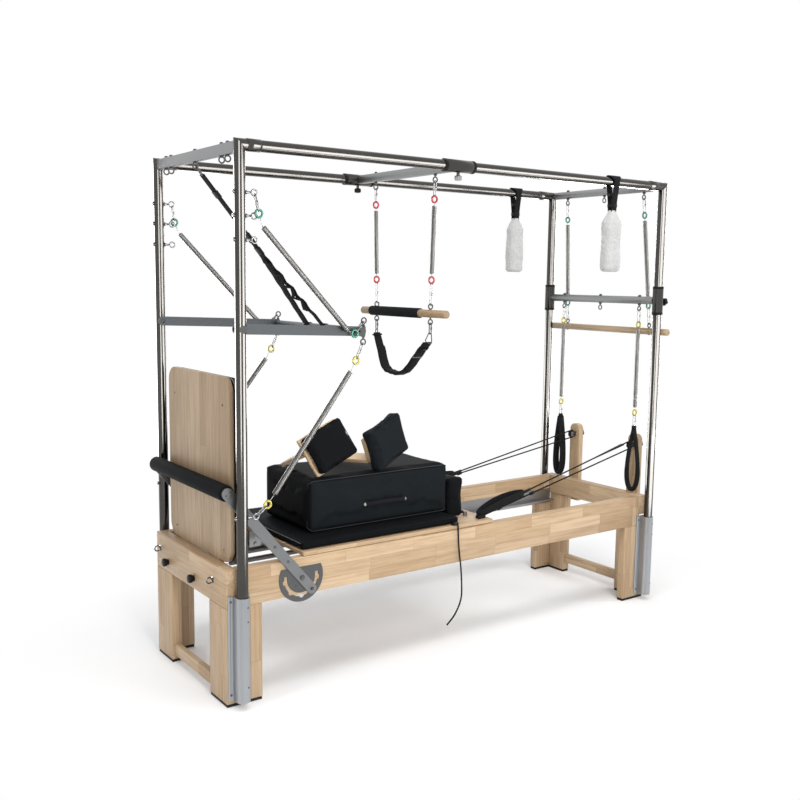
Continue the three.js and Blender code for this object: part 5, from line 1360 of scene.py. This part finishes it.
def rope(side, word):
    shape = Shape()
    y = side * CLEAT_Y
    start, hand = at(CLEAT_X, y, CARRIAGE_TOP + 7.8), at(HAND_X, side * 262, HAND_Z)
    bend = [at(x, side * RISER_Y, z) for x, z in arc(PULLEY_X, PULLEY_Z, 20, -90, 90, 16)]
    line = [start, *bend, hand]
    shape.add(sweep(line, circle(3.5, 12)))
    shape.add(block(CLEAT_X - 22, CLEAT_X + 22, y - 11, y + 11, 553.3, 568.3, 3), 1)
    way = unit(line[1] - start)
    for share in (0.1, 0.3):
        clip = start + (line[1] - start) * share
        shape.add(rod(clip, clip + way * 26, 8, 20, 1.5), 1)
    if side < 0:
        back = unit(hand - line[-2])
        band = [line[-2] + back * 62, line[-2] + back * 290]
        shape.add(sweep(band, strip(20, 7), Y, False, lambda share: 1 - 0.5 * share), 1)
    lead = unit(line[-2] - hand)
    shape.add(rod(hand - lead * 7, hand + lead * 52, 7, 20, 1.5), 1)
    loop = []
    for i in range(48):
        angle = 2 * math.pi * i / 48
        share = (1 - math.cos(angle)) / 2
        out = 262 + 30 * share - 28 * math.sin(angle)
        loop.append(at(HAND_X - 300 * share, side * out, HAND_Z - 58 * share**2))
    shape.add(sweep(loop, strip(30, 9, 0.8), Z, True))
    piece = shape.make(f"rope_{word}_line", [CORD, PLASTIC], "carriage", "webbing", f"rope_{word}")
    stretch(piece)


for side, word in SIDES:
    rope(side, word)


# Carriage with its springs, mat and headrest
def carriage():
    deck = Shape().add(level(plate([rounded(-840, -338, 137, 338, 6)], 16, 2), 545))
    deck.make("carriage_deck", [DECK_WOOD], "carriage", "wood", "carriage_platform")
    gear = Shape()
    wheel = [(0, 0), (7, 0), (8, 2), (21, 2), (24, 4), (24, 18), (21, 20), (0, 20)]
    axle = 404.3 + 24
    for x in (-740, 37):
        for side in (-1, 1):
            outer = side * 295.9
            gear.add(lathe(wheel, at(x, outer, axle), -side * Y, 40), 1)
            inner = outer - side * 20
            gear.add(block(x - 30, x + 30, inner, inner - side * 5, axle - 15, 538, 2), 0)
            gear.add(nut(at(x, inner - side * 5, axle), -side * Y, 9, 6), 0)
    gear.add(block(-93, -63, -339.5, -324.3, 552, 566, 2), 1)
    grommet = [(TAIL_RADIUS - 0.1, 0), (7, 0), (7, 1.6), (6, 2), (TAIL_RADIUS - 0.1, 2)]
    gear.add(lathe(grommet, TAIL_START + Y * 0.3, -Y, 24), 2)
    for side in (-1, 1):
        gear.add(block(55, 73, side * 222, side * 234, 552, 576, 2), 0)
    gear.make("carriage_gear", [ALUMINIUM, PLASTIC, BRIGHT], "carriage", "aluminium")


def carriage_springs():
    shape = Shape()
    height, ring, wire, peg, slack = 430, 13, 2.6, 5, 0.5
    start, end = GEAR_BAR_X + ring - wire - peg - slack, -425
    for i, y in enumerate(CARRIAGE_SPRING_Y):
        shape.add(hoop(at(start, y, height), Z, ring, wire), 1 + i % 3)
        shape.add(coil(at(start + ring, y, height), at(end, y, height), 24))
    shape.add(block(end - 9, end + 9, -240, 240, 421, 536.7, 2), 4)
    finishes = [SPRING_STEEL, YELLOW, RED, GREEN, PLATE_STEEL]
    name = "carriage_spring"
    piece = shape.make(f"{name}_coils", finishes, "frame", "spring_steel", f"{name}s", 75)
    stretch(piece)


def stuffed_form(length, width, height, edge, crown, cells):
    """A closed block with rounded edges and a crowned top, on a grid of cells."""
    made = eased_block(at(0, 0, 0), at(length, width, height), edge, 4)
    for axis, count in enumerate(cells):
        half = (length, width, height)[axis] / 2 - edge
        for i in range(1, count):
            place = -half + 2 * half * i / count
            normal = (X, Y, Z)[axis]
            geometry = made.verts[:] + made.edges[:] + made.faces[:]
            bmesh.ops.bisect_plane(made, geom=geometry, plane_co=normal * place, plane_no=normal)
    for corner in made.verts:
        rise = max(0, corner.co.z / height * 2)
        across = (1 - (corner.co.x / length * 2) ** 2) * (1 - (corner.co.y / width * 2) ** 2)
        corner.co.z += crown * max(0, across) ** 0.6 * rise
    return emptied(made)


PRESSURE, CLOTH_FRAMES = 4, 20


def swelled(form, voxel, cap, shrink=1.5):
    """A stuffed cover: the form taken in a little, then pressed out from inside.

    The cap is the farthest that a point moves, in millimetres; no point leaves the form's box.
    """
    points, faces = form
    points = np.asarray(points, float)
    low, high = points.min(axis=0), points.max(axis=0)
    middle = (low + high) / 2
    taken_in = (points - middle) * (1 - 2 * shrink / (high - low)) / 1000
    mesh = bpy.data.meshes.new("stuffing")
    mesh.from_pydata(taken_in.tolist(), [], faces)
    cover = stand("stuffing", mesh)
    remesh = cover.modifiers.new("even_faces", "REMESH")
    remesh.mode = "VOXEL"
    remesh.voxel_size = voxel / 1000
    cover.data = settled(cover)
    start = corners(cover.data)
    cloth = cover.modifiers.new("pressed_out", "CLOTH")
    cloth.settings.use_pressure = True
    cloth.settings.uniform_pressure_force = PRESSURE
    cloth.settings.effector_weights.gravity = 0
    for step in range(CLOTH_FRAMES):
        bpy.context.scene.frame_set(step + 1)
    cover.data = settled(cover)
    bpy.context.scene.frame_set(1)
    shift = corners(cover.data) - start
    length = np.linalg.norm(shift, axis=1, keepdims=True)
    ended = start + shift * np.minimum(1, cap / 1000 / np.maximum(length, 1e-9))
    ended = np.clip(ended, (low - middle) / 1000, (high - middle) / 1000)
    cover.data.vertices.foreach_set("co", ended.ravel())
    cover.modifiers.new("smooth_faces", "SUBSURF").levels = 1
    cover.data = settled(cover)
    points = corners(cover.data) * 1000 + middle
    faces = [list(face.vertices) for face in cover.data.polygons]
    bpy.data.objects.remove(cover)
    return points, faces


def corners(mesh):
    flat = np.empty(len(mesh.vertices) * 3)
    mesh.vertices.foreach_get("co", flat)
    return flat.reshape(-1, 3)


def laid(form, line, ways, proud=0.4):
    """A line brought down onto a form, each point along its own way."""
    points, faces = form
    tree = BVHTree.FromPolygons([tuple(point) for point in points], faces)
    placed = []
    for point, way in zip(line, ways):
        hit = tree.ray_cast(Vector(point + way * 60), Vector(-way))[0]
        if hit is not None:
            placed.append(np.array(hit) + way * proud)
    return placed


def facing_marks(form, way, share=0.82):
    """One for each face that looks along a direction or against it, nought for the rest."""
    points, faces = form
    points = np.asarray(points, float)
    marks = []
    for face in faces:
        a, b, c = (points[corner] for corner in face[:3])
        normal = np.cross(b - a, c - a)
        marks.append(int(abs(np.dot(normal, way)) > share * np.linalg.norm(normal)))
    return marks


def around(x0, y0, x1, y1, radius, z):
    """A level rounded loop and the outward way at each of its points."""
    ring = [at(x, y, z) for x, y in rounded(x0, y0, x1, y1, radius, 8)]
    fuller = [at(x, y, z) for x, y in rounded(x0 - 1, y0 - 1, x1 + 1, y1 + 1, radius + 1, 8)]
    return ring, [unit(after - before) for before, after in zip(ring, fuller)]


carriage()
carriage_springs()


def moved(form, move, turned=None):
    points, faces = form
    points = np.asarray(points, float)
    if turned is not None:
        points = points @ np.array(turned).T
    return points + move, faces


def piped(form, line, ways, radius=1.6, proud=0.2):
    return sweep(laid(form, line, ways, proud), circle(radius, 8), None, True)


BOX_FOOT, BOX_LONG, BOX_NEAR, BOX_WIDE = -760, 723, -240, 400


def upholstery():
    form = swelled(stuffed_form(802, 646, 31, 8, 4, (14, 12, 1)), 8, 6, 1)
    mat = Shape().add(form)
    for z in (-9, 9):
        mat.add(piped(form, *around(-399, -321, 399, 321, 20, z)))
    foot_edge = [at(-401, y, 9) for y in np.linspace(-300, 300, 31)]
    mat.add(sweep(laid(form, foot_edge, [-X] * 31, 1.6), circle(1.8, 8)), 1)
    mat.shift(at(-439, 0, 568.8))
    finishes = [HIDE, PIPING]
    piece = mat.make("carriage_mat_pad", finishes, "carriage", "black_vinyl", "carriage_mat", 60)
    form = swelled(stuffed_form(84, 480, 186, 18, 5, (2, 8, 4)), 6, 10)
    rest = Shape().add(form)
    rest.add(piped(form, *around(-40, -238, 40, 238, 18, 60)))
    rest.shift(at(8, 0, 646.3))
    for side in (-1, 1):
        low, mid, high = (side * (221.7 + out) for out in (-24, -12, 12))
        rest.add(rod(at(64, low, 567), at(64, high, 567), 5, 16), 1)
        rest.add(block(30, 69, low, mid, 562, 577, 2), 1)
    piece = rest.make("headrest_pad", [HIDE, BRIGHT], "headrest", "black_vinyl", "headrest", 60)
    form = stuffed_form(BOX_LONG, BOX_WIDE, 220, 20, 4, (12, 8, 4))
    middle_x, middle_y = BOX_FOOT + BOX_LONG / 2, BOX_NEAR + BOX_WIDE / 2
    form = moved(swelled(form, 9, 8), at(middle_x, middle_y, 698.6))
    # The faces along Y take the lighter copy of the vinyl: painted light on the box's long sides.
    box = Shape().add(form, facing_marks(form, Y))
    outline = rounded(-753, 596, -44, 802, 24, 8)
    for y, way in ((BOX_NEAR, -Y), (BOX_NEAR + BOX_WIDE, Y)):
        line = [at(x, y, z) for x, z in outline]
        box.add(piped(form, line, [way] * len(line), 2.4, 1.2), 2)
    finishes = [HIDE, HIDE_PAINTED_LIT, SEAM]
    piece = box.make("sitting_box_cover", finishes, "sitting_box", "black_vinyl", "sitting_box", 60)


upholstery()


# Shoulder rests, tipped over on the box
REST_LENGTH, REST_WIDTH = 212, 172


def shoulder_rest(name, along, across, yaw, pitch, roll, foot_shift, finish, wrap=0):
    """A pad on a ply board; a wrap lets the cover come back over the board's edge.

    Along and across are shares of the box's top; the turns are in degrees.
    """
    form = stuffed_form(REST_LENGTH + wrap, REST_WIDTH + wrap, 52 + wrap, 14, 4, (6, 5, 1))
    pad = moved(swelled(form, 4.5, 8), at(0, 0, 39.9 - wrap / 2))
    half_x, half_y = REST_LENGTH / 2, REST_WIDTH / 2
    x, y = half_x - 1 + wrap / 2, half_y - 1 + wrap / 2
    seam, ways = around(-x, -y, x, y, 13, 52)
    piping = piped(pad, seam, ways)
    x, y = half_x - wrap, half_y - wrap
    back = level(plate([rounded(-x, -y, x, y, 5, 4)], 14, 1.5), 7)
    foot = block(-92, -32, foot_shift - 9, foot_shift + 9, -210, 7, 1.5)
    ends = (foot_shift - 9, foot_shift + 9, -foot_shift)
    base = block(-92, -32, min(ends), max(ends), -18, 7, 1.5)
    turned = (
        np.array(Matrix.Rotation(math.radians(yaw), 3, "Z"))
        @ np.array(Matrix.Rotation(math.radians(pitch), 3, "X"))
        @ np.array(Matrix.Rotation(math.radians(roll), 3, "Z"))
    )
    flat = at(0, 0, 0)
    pad_shape = Shape().add(moved(pad, flat, turned)).add(moved(piping, flat, turned))
    ply_shape = Shape()
    for form in (back, foot, base):
        ply_shape.add(moved(form, flat, turned))
    lowest = np.array(ply_shape.points + pad_shape.points)[:, 2].min()
    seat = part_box(name)[0][2] * 1000
    place = at(BOX_FOOT + along * BOX_LONG, BOX_NEAR + across * BOX_WIDE, seat - lowest)
    pad_shape.shift(place)
    ply_shape.shift(place)
    padded = pad_shape.make(f"{name}_pad", [finish], name, "black_vinyl", name, 60)
    ply_shape.make(f"{name}_ply", [PLY], name, "wood")


shoulder_rest("shoulder_rest_a", 0.176, 0.23, 3.3, 68.3, 21.5, 18, HIDE)
# Rest B takes the lighter copy of the vinyl: painted light over its whole pad.
shoulder_rest("shoulder_rest_b", 0.554, 0.221, 17.5, 85, 19, -52, HIDE_PAINTED_LIT, 12)


# Jump board
def jump_board():
    x, bottom, top = -1127.7, 535.3, 1247
    screws = (1139, 580)
    holes = [ring_of(y, z, 5, 16) for y in (-227, 227) for z in screws]
    board = [rounded(-290, bottom, 290, top, 60, 12), *holes]
    panel = Shape().add(facing(plate(board, 18, 2), x + 9))
    screw = [(0, 0), (4.6, 0), (4.6, 6), (2, 6), (0, 3)]
    for side in (-1, 1):
        panel.add(block(x, x + 22, side * 150 - 35, side * 150 + 35, 460.3, 540, 2))
        for z in screws:
            panel.add(lathe(screw, at(x + 14, side * 227, z), -X, 20), 1)
    panel.make("jump_board_panel", [PANEL_WOOD, BRIGHT], "jump_board", "wood", "jump_board")
    pad = Shape()
    ring = rounded(-299, bottom + 6, 299, top - 6, 56, 12)
    middle = (bottom + top) / 2
    levels = [(1.0, 0), (1.0, 8), (1.004, 18), (1.0, 26), (0.985, 32)]
    levels += [(0.95, 35.5), (0.8, 38), (0.5, 39.5), (0.2, 40)]
    points = []
    for share, height in levels:
        out = x + 18.2 + height * 1.1
        points.extend((out, y * share, middle + (z - middle) * share) for y, z in ring)
    pad.add((points, skin(len(levels), len(ring))))
    edge = [at(x + 22, y, z) for y, z in rounded(-301, bottom + 4, 301, top - 4, 58, 12)]
    pad.add(sweep(edge, circle(2.2, 8), X, True), 1)
    piece = pad.make("jump_board_pad", [HIDE, PIPING], "jump_board", "black_vinyl", "", 60)


jump_board()


# Foot bar with its roll and notched plates
PIVOT = at(-854, 0, 457)
ROLL = at(-1168, 0, 827)
LEAN = math.degrees(math.atan2(ROLL[2] - PIVOT[2], ROLL[0] - PIVOT[0]))
SLOT_RADIUS, SLOT_START, SLOT_TURN, NOTCHES = 69, 170, 202, 5


def from_plate_pivot(radius, degrees):
    """A place about the foot bar's pivot, at zero across the bed."""
    turn = math.radians(degrees)
    return PIVOT + radius * at(math.cos(turn), 0, math.sin(turn))


LOCK = from_plate_pivot(-SLOT_RADIUS, LEAN)


def foot_bar():
    shape = Shape()
    upper = arc(ROLL[0], ROLL[2], 22, LEAN - 90, LEAN + 90, 14)
    outline = [*upper, *arc(LOCK[0], LOCK[2], 20, LEAN + 90, LEAN + 270, 14)]
    for side in (-1, 1):
        out = side * Y
        shape.add(upright(plate([outline], 7, 0.8), side * 347.3))
        for spot in (PIVOT, LOCK):
            radius = 12 if spot is PIVOT else 5
            shape.add(rod(spot + out * 340.5, spot + out * 351, radius, 28), 1)
            shape.add(nut(spot + out * 350.8, out, 10 if spot is PIVOT else 7, 6), 1)
        shape.add(dome(ROLL + out * 350.8, out, 20, 1.6))
        for lean in (-1, 1):
            spot = ROLL + at(lean * 7, 0, lean * 6)
            shape.add(dome(spot + out * 352, out, 3.6, 1.8), 1)
        for share in (0.62, 0.8):
            spot = ROLL + (PIVOT - ROLL) * share
            shape.add(dome(spot + out * 350.8, out, 6, 3), 1)
    shape.add(rod(ROLL - Y * 346, ROLL + Y * 346, 15.5, 28))
    shape.make("foot_bar_arms", [BRUSHED, BRIGHT], "foot_bar", "satin_steel", "foot_bar")
    half = [(16, 0), (27, 0), (30, 2.4), (31, 6)]
    profile = [*half, (31, 681), (30, 684.6), (27, 687), (16, 687), half[0]]
    roll = Shape().add(lathe(profile, ROLL - Y * 343.5, Y, 48))
    piece = roll.make("foot_roll_cover", [HIDE], "foot_bar", "black_vinyl", "foot_roll")


def bar_plate(side, word):
    """A plate under the pivot with a curved slot, notched on its outer edge."""
    radius, rise, half, notch = 98, 42, 7, 6.5
    dip = math.degrees(math.asin(rise / radius))
    edge = arc(PIVOT[0], PIVOT[2], radius, 180 - dip, 360 + dip, 40)
    low, high = [], []
    stops = [SLOT_START + SLOT_TURN * (i + 0.5) / NOTCHES for i in range(NOTCHES)]
    for i in range(81):
        angle = SLOT_START + SLOT_TURN * i / 80
        bulge = notch if min(abs(angle - stop) for stop in stops) < 5.5 else 0
        low.append(from_plate_pivot(SLOT_RADIUS - half, angle)[::2])
        high.append(from_plate_pivot(SLOT_RADIUS + half + bulge, angle)[::2])
    rings = [edge, [*low, *high[::-1]], ring_of(PIVOT[0], PIVOT[2], 12.8)]
    shape = Shape().add(upright(plate(rings, 3, 0.4), side * 341.8))
    for angle in (200, 235, 305, 340):
        spot = from_plate_pivot(40, angle)
        shape.add(dome(spot + side * 343.2 * Y, side * Y, 4.2, 2), 1)
    node = f"bar_plate_{word}"
    shape.make(f"{node}_sheet", [PLATE_STEEL, BRIGHT], "frame", "spring_steel", node)


foot_bar()
for side, word in SIDES:
    bar_plate(side, word)


# Handle on the sitting box
def box_handle():
    face, middle, z = BOX_NEAR, -388, 680
    line = []
    for i in range(33):
        share = i / 32 * 2 - 1
        rise = 5 * (1 - share**2)
        line.append(at(middle + 100 * share, face - 3 - 11 * (1 - share**4), z + rise))
    ends = lambda share: 1 + 0.5 * (abs(share - 0.5) * 2) ** 6
    shape = Shape().add(sweep(line, strip(17, 5, 0.7), Z, False, ends))
    washer_form = [(0, 0), (17, 0), (16, 2.4), (10, 4), (0, 4)]
    for side in (-1, 1):
        x = middle + side * 101
        shape.add(lathe(washer_form, at(x, face + 1.5, z), -Y, 32))
        shape.add(dome(at(x, face - 2.5, z), -Y, 9, 4.5), 1)
    shape.make("sitting_box_handle", [WEBBING, STUD], "sitting_box", "webbing")


box_handle()


# Floor, backdrop and light
class Backdrop(Finish):
    def __init__(self, world):
        world.use_nodes = True
        self.tree = world.node_tree
        self.tree.nodes.clear()


def seen_directly(finish):
    """One for a ray from the camera, or sent on by metal or glass; nought for light on the object."""
    path = finish.node("ShaderNodeLightPath")
    rays = [path.out(f"Is {kind} Ray") for kind in ("Camera", "Glossy", "Transmission")]
    return rays[0].largest(*rays[1:])


def studio():
    mesh = bpy.data.meshes.new("pale_floor")
    corner = 14
    ground = [(-corner, -corner, 0), (corner, -corner, 0), (corner, corner, 0), (-corner, corner, 0)]
    mesh.from_pydata(ground, [], [[0, 1, 2, 3]])
    plain = stand("pale_floor", mesh)
    matt = {"roughness": 0.95, "specular_ior_level": 0.0}
    finish = Finish("pale_floor", base_color=(0.95, 0.95, 0.95), **matt)
    x, y, _ = finish.split(finish.spot())
    away = x * x * 0.22 + y * y * 0.42
    fade = finish.ramp(away, (0.25, 0), (0.9, 1))
    white = finish.node("ShaderNodeEmission", None, {"Color": (1, 1, 1), "Strength": 1.0})
    lit = Wire(finish, finish.shader.outputs[0])
    share = fade * seen_directly(finish)
    mixed = finish.node("ShaderNodeMixShader", None, {0: share, 1: lit, 2: white})
    finish.join(finish.tree.nodes["Material Output"].inputs["Surface"], mixed)
    mesh.materials.append(finish.material)
    world = bpy.data.worlds.new("studio")
    bpy.context.scene.world = world
    sky = Backdrop(world)
    soft = sky.node("ShaderNodeBackground", None, {"Color": (0.97, 0.98, 1), "Strength": 0.5})
    white = sky.node("ShaderNodeBackground", None, {"Color": (1, 1, 1), "Strength": 1.0})
    mixed = sky.node("ShaderNodeMixShader", None, {0: seen_directly(sky), 1: soft, 2: white})
    sky.node("ShaderNodeOutputWorld", None, {"Surface": mixed})


def polished_pieces():
    pieces = bpy.data.collections.new("polished_pieces")
    steels = [finish.material for finish in (CHROME, BRIGHT, SPRING_STEEL)]
    for piece in bpy.context.scene.objects:
        if piece.type == "MESH" and piece.data.materials[0] in steels:
            pieces.objects.link(piece)
    return pieces


def lamp(name, place, aim, size, power, pieces=None):
    """A soft lamp; one with pieces is a panel that only they reflect."""
    data = bpy.data.lights.new(name, "AREA")
    data.shape = "RECTANGLE"
    data.size, data.size_y = size
    data.energy = power
    light = stand(name, data)
    light.visible_diffuse, light.visible_glossy = not pieces, bool(pieces)
    light.visible_camera = False
    light.light_linking.receiver_collection = pieces
    turn = (Vector(aim) - Vector(place)).to_track_quat("-Z", "Y")
    light.matrix_world = Matrix.Translation(place) @ turn.to_matrix().to_4x4()


studio()
lamp("key_lamp", (-1.5, -4.6, 2.9), (0, 0, 0.9), (1.2, 2.6), 125)
lamp("left_lamp", (-4.6, -1.2, 2.4), (0, 0, 0.9), (0.8, 2.4), 42)
lamp("right_lamp", (4.2, -2.6, 2.6), (0, 0, 0.8), (0.8, 2.4), 45)
lamp("over_lamp", (-0.6, -1.6, 4.6), (0, 0, 0.9), (3.6, 1.0), 80)
lamp("back_lamp", (0.5, 4.2, 3.6), (0, 0, 0.8), (3.0, 1.0), 55)
polished = polished_pieces()
lamp("low_panel", (2.2, -3.6, 1.35), (2.2, 0, 1.35), (4.8, 2.4), 400, polished)
lamp("floor_panel", (1.15, -2.0, 0.32), (1.15, 0, 0.32), (3.3, 0.55), 63, polished)
lamp("far_panel", (-2.0, 3.8, 1.35), (-2.0, 0, 1.35), (4.4, 2.4), 370, polished)
lamp("head_panel", (4.2, 2.2, 1.4), (0, 0, 1.4), (1.6, 2.6), 160, polished)
lamp("front_panel", (-3.5, -4.4, 1.5), (0, 0, 1.5), (1.7, 2.8), 175, polished)

bpy.context.scene.view_settings.view_transform = "Standard"
